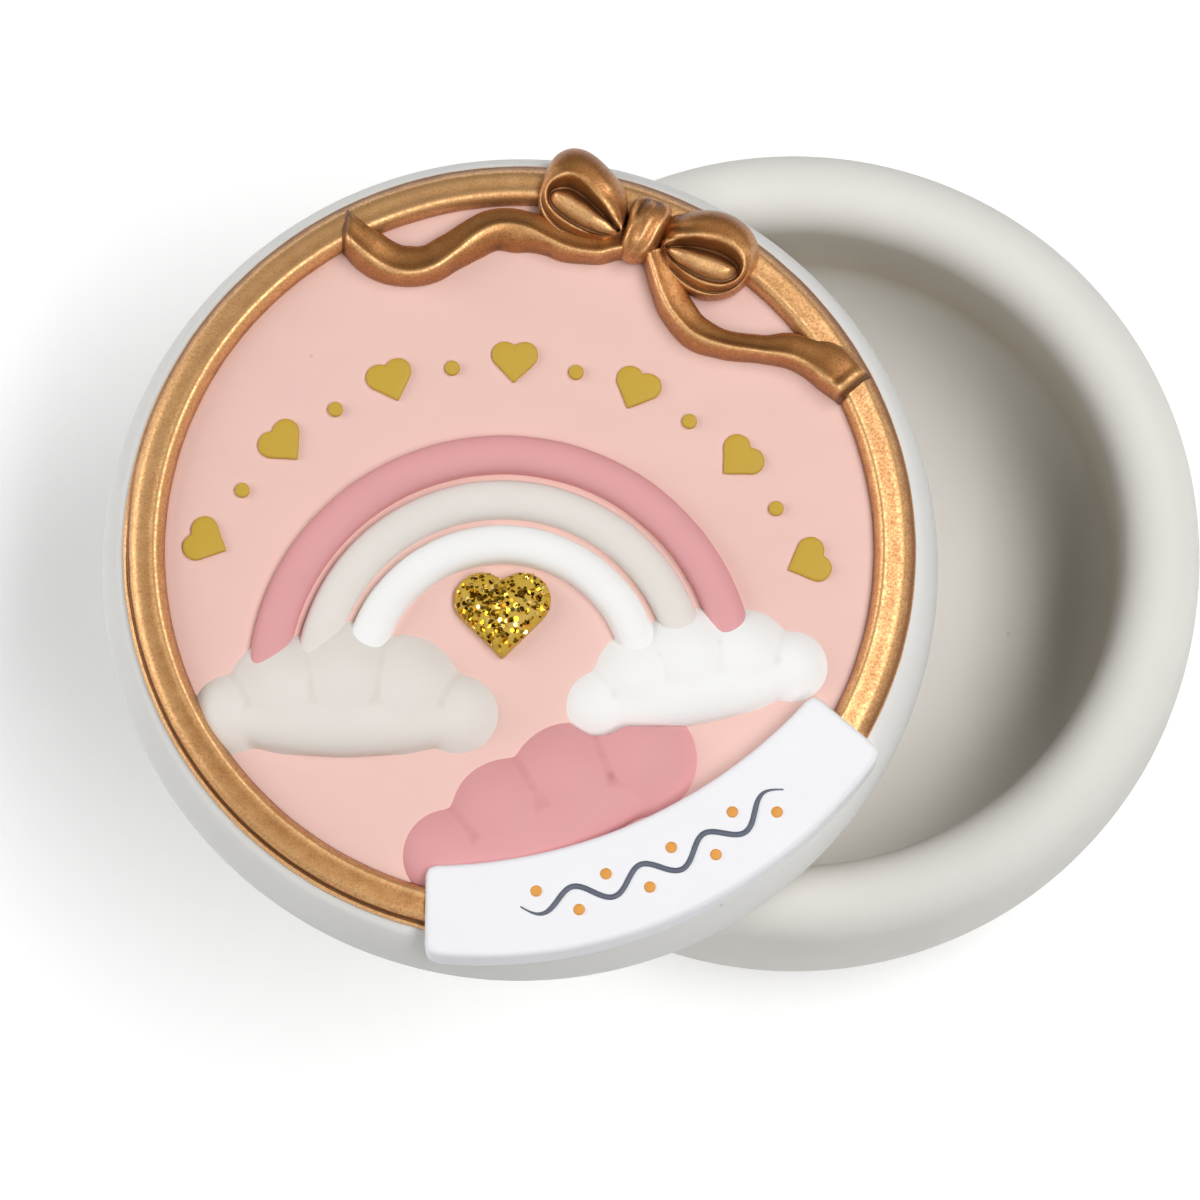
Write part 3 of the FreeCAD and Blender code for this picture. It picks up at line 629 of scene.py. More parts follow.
def glitter_foil():
    """Cut polyester glitter: mirror-like hexagons in golds and browns, each a little different."""
    material, tree, shader, _ = new_material("glitter_polyester_foil")
    tint = add_node(tree, "Attribute", {"attribute_name": "tint"}, "Fac")
    ramp = add_node(tree, "ValToRGB", {"Fac": tint})
    stops = ramp.node.color_ramp.elements
    stops[0].color = opaque(linear("5E3A0C"))
    stops[1].color = opaque(linear("FFE9A0"))
    for position, tone in ((0.3, "A8741A"), (0.55, "D9A927"), (0.8, "F2C94C")):
        stops.new(position).color = opaque(linear(tone))
    set_up(shader, {"Base Color": ramp, "Metallic": 1.0, "Roughness": 0.16})
    return material


def print_ink(name, rgb):
    """Screen ink on paint: flat and dull, a little thinner here and there."""
    material, tree, shader, spots = new_material(name)
    thin = add_node(tree, "TexNoise", {"Vector": spots, "Scale": per_mm(0.8), "Detail": 3.0})
    cover = add_node(tree, "MapRange", {"Value": thin, "From Min": 0.35, "From Max": 0.7, "To Max": 0.35})
    ink = add_node(tree, "Mix", {
        "data_type": "RGBA", "Factor": cover, "A": opaque(rgb), "B": opaque(toned(rgb, 1.5)),
    })
    set_up(shader, {"Base Color": ink, "Roughness": 0.55})
    return material


def settings():
    return bpy.context.scene.tooth_box


def shared(name, make, *arguments):
    """A material that several pieces use is made once."""
    return bpy.data.materials.get(name) or make(*arguments)


def gold():
    return shared("gilding_bronze_powder", antique_gold, settings().colours)


def paint(name, rgb, shade, roughness, streak=1.0):
    return shared(name, matte_paint, name, tuple(rgb), linear(shade), roughness, streak)


# Painted shade in the folds of each colour of the relief; its pinholes take a darker tone of it
RELIEF_SHADES = {"rose": "C0767C", "cream": "C4B6AA", "white": "D3CCC8"}


def relief_finish(tone):
    """Material slot and paint of a relief piece in rose, cream or white."""
    rgb = getattr(settings().colours, tone)
    return f"relief_{tone}", paint(f"relief_acrylic_{tone}", rgb, RELIEF_SHADES[tone], 0.6, 1.6)


# The pieces


class TOOTHBOX_OT_stage(bpy.types.Operator):
    """Floor, soft studio light and the camera of the photograph"""

    bl_idname = "tooth_box.stage"
    bl_label = "Stage"

    FLOOR_SIZE = 6.0
    FLOOR_GLOW = 0.25
    ROOM_LIGHT = 0.09
    # Where the camera and the lamps look, in millimetres
    TARGET = (-17.85, -5.71, 26.0)
    # Azimuth and elevation in degrees and metres from the target; azimuth 0 is to the right, 90 to the back
    CAMERA_PLACE = (-90.0, 78.13, 0.6186)
    LENS, SENSOR = 204.7, 36.0
    LAMP_DISTANCE = 0.9
    # Azimuth, elevation, width and height in metres, watts, and whether it lights the paint: a wide softbox
    # high on the right, a low one on the left, and white cards that only show in the gloss
    LAMPS = {
        "right_softbox": (-7.0, 64.0, 1.1, 0.36, 8.1, True),
        "left_softbox": (172.0, 27.0, 0.7, 0.6, 4.4, True),
        "front_card": (-90.0, 38.0, 1.2, 0.9, 2.6, False),
        "right_card": (0.0, 20.0, 1.2, 0.45, 0.8, False),
    }

    def aimed(self, name, data, azimuth, elevation, distance):
        """A lamp or camera that looks at the target."""
        level = polar(1.0, math.radians(azimuth)) * math.cos(math.radians(elevation))
        away = Vector((level.x, level.y, math.sin(math.radians(elevation))))
        obj = bpy.data.objects.new(name, data)
        bpy.context.scene.collection.objects.link(obj)
        obj.location = Vector(self.TARGET) * MM + away * distance
        obj.rotation_euler = (-away).to_track_quat("-Z", "Y").to_euler()
        return obj

    def execute(self, context):
        scene = context.scene
        scene.view_settings.view_transform = "Standard"
        bpy.ops.object.select_all(action="DESELECT")
        bpy.ops.mesh.primitive_plane_add(size=self.FLOOR_SIZE, location=(0.0, 0.0, 0.0))
        floor = context.object
        floor.name = "stage_floor"
        white = opaque(linear("FFFFFF"))
        material, tree, shader, _ = new_material("stage_paper")
        rays = add_node(tree, "LightPath", {}).node.outputs
        seen = rays["Is Camera Ray"]
        for ray in ("Is Glossy Ray", "Is Transmission Ray"):
            seen = add_node(tree, "Math", {"operation": "MAXIMUM", 0: seen, 1: rays[ray]})
        glow = add_node(tree, "Math", {"operation": "MULTIPLY", 0: seen, 1: self.FLOOR_GLOW})
        set_up(shader, {
            "Base Color": opaque(linear("F3F3F3")), "Roughness": 0.9, "Specular IOR Level": 0.1,
            "Emission Color": white, "Emission Strength": glow,
        })
        floor.data.materials.append(material)

        # The room gives a weak even light
        world = bpy.data.worlds.new("studio_room")
        world.use_nodes = True
        scene.world = world
        set_up(world.node_tree.nodes["Background"], {"Color": white, "Strength": self.ROOM_LIGHT})
        for name, (azimuth, elevation, width, height, watts, lights_paint) in self.LAMPS.items():
            data = bpy.data.lights.new(name, "AREA")
            data.shape = "RECTANGLE"
            data.size = width
            data.size_y = height
            data.energy = watts
            lamp = self.aimed(name, data, azimuth, elevation, self.LAMP_DISTANCE)
            lamp.visible_diffuse = lights_paint

        camera = bpy.data.cameras.new("photo_camera")
        camera.lens = self.LENS
        camera.sensor_width = self.SENSOR
        scene.camera = self.aimed("photo_camera", camera, *self.CAMERA_PLACE)
        return {"FINISHED"}


class TOOTHBOX_OT_bowl(bpy.types.Operator):
    """Thick-walled bowl with a rounded rim and a soft well"""

    bl_idname = "tooth_box.bowl"
    bl_label = "Bowl"

    def execute(self, context):
        s = settings().bowl
        outer = (BOWL_HIGH.x - BOWL_LOW.x) / 2
        height = BOWL_HIGH.z
        rim_centre = outer - s.rim_lean - s.rim_round
        mouth = rim_centre - s.rim_round
        rim_level = height - s.rim_round
        inset = outer - s.foot_radius
        foot_arc = (s.belly_height ** 2 + inset ** 2) / (2 * inset)
        setback = outer - rim_centre
        climb = rim_level - s.belly_height
        side_arc = (setback ** 2 + climb ** 2 - s.rim_round ** 2) / (2 * s.rim_lean)
        share = s.rim_round / (side_arc - s.rim_round)
        meet = (rim_centre + share * (side_arc - setback), rim_level + share * climb)
        edge = 0.5 * MM
        section = trace([
            (0.0, 0.0),
            (s.foot_radius - edge, 0.0),
            (s.foot_radius, edge * 0.4, foot_arc, 1),
            (outer, s.belly_height, side_arc, 1),
            (*meet, s.rim_round, 1),
            (rim_centre, height, s.rim_round, 1),
            (mouth, rim_level),
            (mouth, s.floor_thickness + s.well_fillet, s.well_fillet, -1),
            (mouth - s.well_fillet, s.floor_thickness),
            (0.0, s.floor_thickness),
        ])
        bowl = spin_section("bowl_cast", section, Vector((0.0, 0.0, 0.0)))
        roughen(bowl, 0.05 * MM, 16 * MM)
        mark_crests(bowl)
        # Painted shade: the well's paint is darker and warmer, most of all on its wall
        on_floor, more_on_wall, rim_fade = 0.12, 0.73, 4 * MM
        inside = []
        for vertex in bowl.data.vertices:
            below_rim = 1 - smooth(vertex.co.z, rim_level - rim_fade, height)
            up_wall = smooth(vertex.co.z - s.floor_thickness, 0.4 * s.well_fillet, 1.3 * s.well_fillet)
            in_well = vertex.co.xy.length < rim_centre
            inside.append((on_floor + more_on_wall * up_wall) * below_rim * in_well)
        store(bowl, "deep", inside)
        # Its shade colour gives the painted shade of the well and of the folds
        material = paint("bowl_acrylic_on_resin", settings().colours.bowl, "CBBFA9", 0.6)
        place_piece(bowl, "bowl", "bowl_paint", material, "base_bowl")
        return {"FINISHED"}


class TOOTHBOX_OT_lid(bpy.types.Operator):
    """Body of the lid and the painted field on top of it"""

    bl_idname = "tooth_box.lid"
    bl_label = "Lid and field"

    def execute(self, context):
        s = settings().lid
        outer = (LID_HIGH.x - LID_LOW.x) / 2
        under = FIELD_Z - s.height
        centre = Vector((LID_X, LID_Y, 0.0))
        lower_arc = (s.widest_height ** 2 + s.heel ** 2) / (2 * s.heel)
        rise = s.height - s.widest_height
        upper_arc = (rise ** 2 + s.shoulder_inset ** 2) / (2 * s.shoulder_inset)
        lean = math.asin(rise / upper_arc)
        run = s.shoulder_round * math.tan((math.pi / 2 - lean) / 2)
        shoulder = outer - s.shoulder_inset
        edge = 0.4 * MM
        section = trace([
            (0.0, under - s.plug_depth),
            (s.plug_radius - edge, under - s.plug_depth, edge, 1),
            (s.plug_radius, under - s.plug_depth + edge),
            (s.plug_radius, under),
            (outer - s.heel - edge, under, edge, 1),
            (outer - s.heel + edge * 0.2, under + edge * 0.8, lower_arc, 1),
            (outer, under + s.widest_height, upper_arc, 1),
            (shoulder + run * math.sin(lean), FIELD_Z - run * math.cos(lean), s.shoulder_round, 1),
            (shoulder - run, FIELD_Z),
            (s.field_radius, FIELD_Z),
            (s.field_radius, FIELD_Z - s.field_thickness),
            (0.0, FIELD_Z - s.field_thickness),
        ])
        lid = spin_section("lid_cast", section, centre)
        roughen(lid, 0.04 * MM, 14 * MM)
        mark_crests(lid)
        material = paint("lid_acrylic_on_resin", settings().colours.lid, "BDB8B2", 0.6)
        place_piece(lid, "lid", "lid_paint", material, "lid_shell")

        low = FIELD_Z - s.field_thickness
        rings = 24
        brush_depth, brush_grain = 0.03 * MM, 7 * MM
        section = [Vector((0.0, low)), Vector((s.field_radius, low)), Vector((s.field_radius, FIELD_Z))]
        section += [Vector((s.field_radius * (1 - step / rings), FIELD_Z)) for step in range(1, rings + 1)]
        field = spin_section("field_painted", section, centre, steps=192)
        for vertex in field.data.vertices:
            if vertex.co.z > FIELD_Z - 0.01 * MM:
                vertex.co.z += brush_depth * (noise.noise(vertex.co / brush_grain) - 0.6)
        mark_crests(field)
        material = paint("field_acrylic_pink", settings().colours.field, "D9A79B", 0.58, 2.2)
        place_piece(field, "lid", "field_pink", material, "medallion_panel")
        return {"FINISHED"}


class TOOTHBOX_OT_moulding(bpy.types.Operator):
    """Gilt moulding round the field, open where the banner lies"""

    bl_idname = "tooth_box.moulding"
    bl_label = "Frame moulding"

    def execute(self, context):
        s = settings().moulding
        inner = s.inner_radius
        # From the inner wall over the broad ridge, along the band and down over the outer bead
        section = marks([
            (-0.15, -0.40), (-0.15, 0.10), (-0.06, 0.50), (0.08, 0.92), (0.26, 1.29), (0.48, 1.55),
            (0.72, 1.66), (0.97, 1.62), (1.22, 1.53), (1.60, 1.47), (2.05, 1.43), (2.42, 1.34), (2.70, 1.17),
            (2.90, 0.90), (3.03, 0.64), (3.13, 0.53), (3.23, 0.57), (3.35, 0.63), (3.46, 0.55), (3.55, 0.34),
            (3.60, -0.40),
        ])
        drawn_width = 3.6 * MM
        stretch = s.width / drawn_width
        profile = [Vector((inner + point.x * stretch, FIELD_Z + point.y)) for point in section]
        profile.append(profile[0].copy())
        start = settings().banner.angle - s.gap_half_angle
        sweep_angle = FULL_TURN - 2 * s.gap_half_angle
        centre = Vector((LID_X, LID_Y + s.off_centre, 0.0))
        ring = spin_section("frame_moulding", profile, centre, start, sweep_angle, 360)
        # The bead shows from the left round to the banner; elsewhere the band slopes straight down to the lid
        bead_middle = polar(1.0, math.radians(229.0))
        slope_from, slope_to = 2.95 * MM * stretch, 3.58 * MM * stretch
        for vertex in ring.data.vertices:
            spot = Vector((vertex.co.x - centre.x, vertex.co.y - centre.y))
            share = (spot.length - inner - slope_from) / (slope_to - slope_from)
            if 0.0 < share < 1.0 and vertex.co.z > FIELD_Z:
                slope = FIELD_Z + (0.86 - 0.80 * share) * MM
                beaded = smooth(spot.normalized().dot(bead_middle), 0.44, 0.87)
                vertex.co.z = slope + (vertex.co.z - slope) * beaded
        refine(ring, 1)
        roughen(ring, s.wobble, 2.2 * MM)
        # Painted shade at the foot and on faces to the back
        mark_crests(ring, 0.7 * MM, 7, foot=1.1 * MM, back_face_shade=0.08)
        # Brighter gold over the whole moulding, with painted highlight added towards the back and the left
        most = polar(1.0 / inner, math.radians(120.0))
        even_brightening, painted_highlight_back_left = 0.38, 0.36
        rubbed_and_painted_highlight = [
            even_brightening + painted_highlight_back_left * smooth(lid_spot(vertex).dot(most), -0.2, 0.9)
            for vertex in ring.data.vertices
        ]
        store(ring, "worn", rubbed_and_painted_highlight)
        place_piece(ring, "lid", "antique_gold", gold(), "frame_ring")
        return {"FINISHED"}


class TOOTHBOX_OT_bow(bpy.types.Operator):
    """Knot and two folded loops of the ribbon bow"""

    bl_idname = "tooth_box.bow"
    bl_label = "Bow"

    # Outline and edge of the opening, from the knot along the back, round the far end and home along the
    # front; the fold lies inside the opening
    LOOPS = {
        "left": {
            "outline": [
                (9.8, 32.0), (9.0, 33.8), (7.8, 35.3), (6.4, 36.5), (4.9, 37.0), (3.4, 36.5), (2.4, 35.2),
                (1.8, 33.5), (1.5, 31.8), (1.8, 30.4), (2.7, 29.2), (4.0, 28.2), (5.7, 27.5), (7.2, 27.2),
                (8.5, 27.4), (9.3, 27.8),
            ],
            "opening": [
                (9.0, 28.8), (8.0, 30.2), (6.9, 31.7), (5.7, 33.0), (4.5, 33.6), (3.3, 33.3), (2.5, 32.6),
                (2.3, 31.6), (2.7, 30.7), (3.6, 29.8), (5.0, 28.9), (6.6, 28.25), (8.2, 28.05), (8.9, 28.2),
            ],
            "fold": [(8.3, 28.7), (3.4, 31.8)],
        },
        "right": {
            "outline": [
                (13.4, 30.3), (14.6, 30.8), (16.0, 31.1), (17.6, 31.1), (19.2, 30.6), (20.6, 29.5),
                (21.4, 28.0), (21.5, 26.4), (20.9, 25.0), (19.9, 23.7), (18.4, 22.9), (16.7, 22.7),
                (15.1, 23.2), (13.5, 24.4), (12.5, 25.7), (12.0, 26.9),
            ],
            "opening": [
                (12.9, 27.4), (14.2, 27.8), (16.1, 27.9), (18.0, 27.5), (19.3, 26.7), (19.95, 25.6),
                (19.8, 24.6), (19.1, 23.9), (17.8, 23.6), (16.1, 24.0), (14.5, 24.95), (13.4, 26.0),
                (12.9, 26.8),
            ],
            "fold": [(13.4, 26.8), (18.5, 25.0)],
        },
    }
    # Place (0 outline, 1 edge of the opening, 2 fold inside it), share of the height in front and behind
    LOOP_PROFILE = [
        (0.00, None), (0.02, 0.10, 0.22), (0.10, 0.36, 0.50), (0.22, 0.49, 0.71), (0.34, 0.51, 0.82),
        (0.46, 0.47, 0.89), (0.58, 0.49, 0.93), (0.72, 0.59, 0.96), (0.85, 0.68, 0.99), (0.96, 0.72, 1.00),
        (1.06, 0.71, 0.96), (1.16, 0.67, 0.82), (1.26, 0.67, 0.63), (1.36, 0.72, 0.52), (1.48, 0.79, 0.56),
        (1.60, 0.85, 0.70), (1.74, 0.88, 0.82), (1.88, 0.89, 0.88), (2.00, 0.89, 0.89),
    ]
    KNOT_OUTLINE = [
        (10.0, 26.0), (9.1, 26.4), (8.8, 27.4), (9.1, 28.6), (9.5, 29.9), (9.8, 31.2), (10.4, 32.0),
        (11.4, 32.2), (12.5, 31.9), (13.5, 31.4), (13.8, 30.7), (13.6, 29.7), (13.1, 28.7), (12.6, 27.8),
        (12.0, 26.8), (11.1, 26.1),
    ]
    KNOT_SPINE = [(10.6, 27.6), (11.9, 30.6)]
    KNOT_PROFILE = [
        (0.00, None), (0.03, 0.30), (0.10, 0.62), (0.20, 0.84), (0.32, 0.92), (0.48, 0.92), (0.66, 0.95),
        (0.84, 0.99), (1.00, 1.00),
    ]
    KNOT_MIDDLE = (11.2, 29.1)
    # Creases of the knot: place across it, depth and width
    CREASES = [(-1.25, 0.26, 0.24), (-0.1, 0.12, 0.4), (0.95, 0.10, 0.35)]
    RING_POINTS = 96

    def ring_of(self, outline):
        return through(marks(outline), self.RING_POINTS, closed=True)

    def swings(self):
        """How far round each point of a ring lies."""
        return [FULL_TURN * (index + 0.5) / self.RING_POINTS for index in range(self.RING_POINTS)]

    def line_of(self, ends):
        """Points on a straight fold that match a ring of points."""
        near, far = marks(ends)
        return [near.lerp(far, (1 - math.cos(swing)) / 2) for swing in self.swings()]

    def ground(self, spot):
        """Foot of the bow: on the field, or further down outside the lid's shoulder."""
        return (-0.4 - 2.2 * smooth(spot.length, 34.6 * MM, 36.2 * MM)) * MM

    def execute(self, context):
        s = settings().bow
        knot_middle = Vector(self.KNOT_MIDDLE) * MM

        def pleats(spot, height):
            """The loops sink towards the knot, and gathers run out from it."""
            away = spot - knot_middle
            fade = 1 - smooth(away.length, 2.2 * MM, 7.5 * MM)
            swing = math.sin(math.atan2(away.y, away.x) * 17)
            sunk = height * (0.86 + 0.14 * smooth(away.length, 2.0 * MM, 5.0 * MM))
            return sunk + 0.12 * MM * swing * fade

        weights = [smooth(math.sin(swing), -0.75, 0.75) for swing in self.swings()]
        profile = scaled(self.LOOP_PROFILE, s.loop_height)
        for side, lines in self.LOOPS.items():
            curves = [
                self.ring_of(lines["outline"]),
                self.ring_of(lines["opening"]),
                self.line_of(lines["fold"]),
            ]
            loop = relief(f"loop_{side}_folded", curves, profile, self.ground, weights, pleats)
            refine(loop, 2)
            soften(loop, 12)
            roughen(loop, 0.05 * MM, 1.2 * MM)
            # Painted shade at the foot and on faces to the back
            mark_crests(loop, 0.7 * MM, foot=1.2 * MM, back_face_shade=0.32)
            # Painted highlight along the fold inside the opening
            near, far = marks(lines["fold"])
            run = far - near
            painted_fold_highlight = []
            for vertex in loop.data.vertices:
                spot = lid_spot(vertex)
                share = min(max((spot - near).dot(run) / run.length_squared, 0.0), 1.0)
                painted_fold_highlight.append(1 - smooth((near + run * share - spot).length, 0.3 * MM, 1.3 * MM))
            store(loop, "worn", painted_fold_highlight)
            place_piece(loop, "lid", "antique_gold", gold(), f"bow_loop_{side}")

        curves = [self.ring_of(self.KNOT_OUTLINE), self.line_of(self.KNOT_SPINE)]
        south, north = marks(self.KNOT_SPINE)
        axis = (north - south).normalized()
        across = Vector((axis.y, -axis.x))

        def wrap(spot, height):
            """The band bends down at both ends and has slanting creases."""
            away = spot - knot_middle
            along, aside = away.dot(axis) / MM, away.dot(across) / MM
            bent = height * (1 - 0.030 * along * along - 0.014 * max(along, 0.0) ** 2)
            for offset, depth, wide in self.CREASES:
                lean = aside - offset - 0.22 * along
                bent -= depth * MM * math.exp(-(lean / wide) ** 2)
            return bent

        profile = scaled(self.KNOT_PROFILE, s.knot_height)
        knot = relief("knot_wrapped", curves, profile, self.ground, carve=wrap)
        refine(knot, 2)
        soften(knot, 10)
        roughen(knot, 0.05 * MM, 1.2 * MM)
        # Painted shade at the foot and on faces to the back
        mark_crests(knot, 0.6 * MM, foot=1.2 * MM, back_face_shade=0.32)
        place_piece(knot, "lid", "antique_gold", gold(), "bow_knot")
        return {"FINISHED"}


class TOOTHBOX_OT_tails(bpy.types.Operator):
    """Two wavy ribbon tails that run from the knot onto the moulding"""

    bl_idname = "tooth_box.tails"
    bl_label = "Ribbon tails"

    # The raised front edge of each tail, from the knot to its end on the moulding
    RIDGES = {
        "left": [
            (10.2, 27.4), (8.3, 27.0), (6.8, 26.7), (4.4, 27.1), (2.6, 27.9), (0.7, 28.9), (-1.0, 29.3),
            (-2.5, 29.1), (-4.1, 28.2), (-5.7, 26.8), (-7.5, 25.5), (-9.3, 24.9), (-11.1, 25.0),
            (-13.0, 25.9), (-14.7, 27.3), (-16.0, 28.8),
        ],
        "right": [
            (11.3, 27.0), (11.8, 25.4), (12.4, 23.5), (13.4, 21.4), (15.3, 19.3), (18.0, 18.2), (21.4, 17.6),
            (23.9, 17.2), (25.9, 16.2), (27.5, 14.8), (29.0, 13.5),
        ],
    }
    # Direction of the squared end, from the front edge to the back edge
    END_ANGLES = {"left": 81.0, "right": 42.0}
    # Distance of the front foot and width of the top, in millimetres at even steps from the knot to the end
    FRONTS = {
        "left": [0.6, 0.6, 1.0, 2.1, 1.7, 1.0, 0.8, 1.2, 1.4],
        "right": [0.6, 0.7, 0.9, 1.0, 0.8, 0.6, 0.7, 0.8, 0.6],
    }
    WIDTHS = {
        "left": [2.5, 2.5, 2.3, 2.0, 2.1, 2.6, 3.0, 2.9, 2.7],
        "right": [2.2, 2.5, 2.5, 2.3, 1.9, 2.0, 2.7, 3.8, 3.4],
    }
    # Shares of the front distance from the foot up to the ridge, then of the top's width to the back edge,
    # each with its height in millimetres on a tail of the drawn height
    DRAWN_HEIGHT = 2.5
    FRONT_FACE = [(1.00, -0.40), (0.95, 0.10), (0.78, 0.90), (0.54, 1.70), (0.28, 2.24), (0.00, 2.46)]
    TOP_FACE = [
        (0.10, 2.40), (0.21, 2.22), (0.38, 2.06), (0.58, 1.94), (0.77, 1.76), (0.90, 1.46), (0.96, 1.00),
        (0.99, 0.40), (1.00, -0.40),
    ]

    def execute(self, context):
        s = settings().bow
        high = s.tail_height / (self.DRAWN_HEIGHT * MM)
        for side, ridge in self.RIDGES.items():
            # Going left the back edge is on the right hand, going right it is on the left
            hand = -1 if side == "left" else 1
            path = through(marks(ridge), 120)
            fronts, widths = self.FRONTS[side], self.WIDTHS[side]

            def section_at(share):
                """The front face and the top, which thickens to a lip at the end."""
                front, wide = between(fronts, share) * MM * hand, between(widths, share) * MM * hand
                lip = 0.12 * smooth(share, 0.80, 0.92) + 0.06 * math.exp(-((share - 0.955) / 0.016) ** 2)
                up = high * (1.0 + lip - 0.42 * smooth(share, 0.968, 1.0)) * MM
                section = [(-part * front, height * up) for part, height in self.FRONT_FACE]
                return section + [(part * wide, height * up) for part, height in self.TOP_FACE]

            square_end = polar(hand, math.radians(self.END_ANGLES[side]))
            tail = sweep(f"tail_{side}_folded", path, section_at, square_end)
            refine(tail, 1)
            soften(tail, 3)
            roughen(tail, 0.05 * MM, 1.4 * MM)
            # Painted shade at the foot and on faces to the back
            mark_crests(tail, 0.85 * MM, foot=1.9 * MM, back_face_shade=0.26)
            # Painted shadow in the slit where the end meets the moulding
            forward = Vector((square_end.y, -square_end.x))
            crests = tail.data.attributes["crest"].data
            for vertex, crest in zip(tail.data.vertices, crests):
                crest.value *= smooth((path[-1] - lid_spot(vertex)).dot(forward), 0.3 * MM, 0.8 * MM)
            place_piece(tail, "lid", "antique_gold", gold(), f"ribbon_tail_{side}")
        return {"FINISHED"}


class TOOTHBOX_OT_banner(bpy.types.Operator):
    """Curved plaque over the lid's shoulder, with a plain waved line and dots printed on it"""

    bl_idname = "tooth_box.banner"
    bl_label = "Banner"

    def execute(self, context):
        s = settings().banner
        inner_reach = s.outer_reach - s.width
        direction = polar(1.0, s.angle)
        beside = Vector((-direction.y, direction.x))

        def bow_line(reach, radius, aside):
            """Distance from the lid's centre of an edge that bulges outwards."""
            return reach - radius + math.sqrt(radius * radius - aside * aside)

        def spot_at(across, along):
            """Place on the banner: across 0 inner to 1 outer edge, along -1 to 1."""
            half = s.inner_half + (s.outer_half - s.inner_half) * across
            inner = bow_line(inner_reach, s.inner_arc, along * s.inner_half)
            outer = bow_line(s.outer_reach, s.outer_arc, along * s.outer_half)
            return direction * (inner + (outer - inner) * across) + beside * (along * half - s.shift)

        # The outline runs round with its corners rounded; the spine is the banner's middle line
        outline, spine = [], []
        long_steps, short_steps = 90, 24
        corner_across = s.corner / s.width
        corner_along = s.corner / s.outer_half
        sides = [
            (long_steps, lambda t: (0.0, -1 + 2 * t)),
            (short_steps, lambda t: (t, 1.0)),
            (long_steps, lambda t: (1.0, 1 - 2 * t)),
            (short_steps, lambda t: (1 - t, -1.0)),
        ]
        for steps, place in sides:
            for step in range(steps):
                across, along = place(step / steps)
                near_end = max(abs(along) - (1 - corner_along), 0.0) / corner_along
                near_side = max(abs(across - 0.5) - (0.5 - corner_across), 0.0) / corner_across
                pull = near_end * near_side
                cut = pull * (1 - 1 / math.sqrt(2))
                across_in = across + (0.5 - across) * 2 * corner_across * cut
                along_in = along * (1 - corner_along * cut)
                outline.append(spot_at(across_in, along_in))
                spine.append(spot_at(0.5, max(min(along, 0.8), -0.8)))
        depth = -s.drape
        half_width = s.width / 2
        round_steps = 6
        profile = [(0.0, depth), (0.0, depth + 0.3 * MM), (0.0, 0.4 * s.height)]
        for step in range(round_steps + 1):
            angle = math.pi / 2 * step / round_steps
            share = s.edge_round * (1 - math.cos(angle)) / half_width
            profile.append((share, s.height - s.edge_round * (1 - math.sin(angle))))
        for share, sink in ((0.3, 0.00), (0.5, 0.02), (0.75, 0.03), (1.0, 0.03)):
            profile.append((share, s.height - sink * MM))
        banner = relief("banner_plaque", [outline, spine], profile)
        roughen(banner, 0.05 * MM, 3.5 * MM)
        refine(banner, 1)
        mark_crests(banner)
        colours = settings().colours
        material = paint("banner_acrylic_satin", colours.banner, "C9C8D2", 0.5)
        place_piece(banner, "lid", "banner_white", material, "banner")

        # A waved line with dots in its hollows, a hair above the paint
        waves, wave_half, wave_steps = 4, 0.62, 160
        wave_swing, dot_swing = 0.1, 0.13
        path = []
        for step in range(wave_steps + 1):
            along = -wave_half + 2 * wave_half * step / wave_steps
            across = 0.5 + wave_swing * math.sin(2 * math.pi * waves * step / wave_steps)
            path.append(spot_at(across, along))
        top = s.height + 0.05 * MM
        thin, dot_radius = 0.24 * MM, 0.5 * MM
        low, edge = s.height - 0.2 * MM, top - 0.02 * MM

        def stroke(share):
            """The line thins out at both ends."""
            half = thin * (0.25 + 0.75 * min(smooth(share, 0.0, 0.12), smooth(1 - share, 0.0, 0.12)))
            return [(-half, low), (-half, edge), (0.0, top), (half, edge), (half, low)]

        line = sweep("banner_line", path, stroke)
        ink = print_ink("ink_slate", tuple(colours.slate))
        place_piece(line, "lid", "banner_white", ink)
        dots = []
        profile = [(0.0, low), (0.0, edge), (0.3, top), (1.0, top)]
        for wave in range(waves * 2):
            share = (wave + 0.5) / (waves * 2)
            along = -wave_half + 2 * wave_half * share
            across = 0.5 - dot_swing * math.sin(2 * math.pi * waves * share)
            curves = round_dot(spot_at(across, along), dot_radius, 20)
            dots.append(relief(f"banner_dot_{wave}", curves, profile))
        dot_row = join(dots, "banner_dots")
        ink = print_ink("ink_orange", tuple(colours.orange))
        place_piece(dot_row, "lid", "banner_white", ink)
        return {"FINISHED"}


class TOOTHBOX_OT_rainbow(bpy.types.Operator):
    """Three half-round relief bands"""

    bl_idname = "tooth_box.rainbow"
    bl_label = "Rainbow"

    BANDS = {"outer": "rose", "middle": "cream", "inner": "white"}

    def execute(self, context):
        s = settings().relief
        half = s.band_width / 2
        foot = -0.4 * MM
        round_steps = 12
        # Clockwise from the left, a little below the middle, to angle 0 on the right
        start = math.radians(187.0)
        centre = Vector((LID_X + RAINBOW_CENTRE.x, LID_Y + RAINBOW_CENTRE.y, 0.0))
        for order, (place, tone) in enumerate(self.BANDS.items()):
            middle = s.rainbow_radius - order * (s.band_width + s.band_gap) - half
            section = [Vector((middle + half, FIELD_Z + foot))]
            for step in range(round_steps + 1):
                angle = math.pi * step / round_steps
                rise = s.band_height * math.sin(angle) ** 0.75
                section.append(Vector((middle + half * math.cos(angle), FIELD_Z + rise)))
            section.append(Vector((middle - half, FIELD_Z + foot)))
            section.append(section[0].copy())
            band = spin_section(f"rainbow_band_{place}", section, centre, start, start, 120)
            refine(band, 1)
            roughen(band, 0.07 * MM, 3.0 * MM)
            mark_crests(band, 0.8 * MM)
            place_piece(band, "lid", *relief_finish(tone), f"rainbow_{place}")
        return {"FINISHED"}


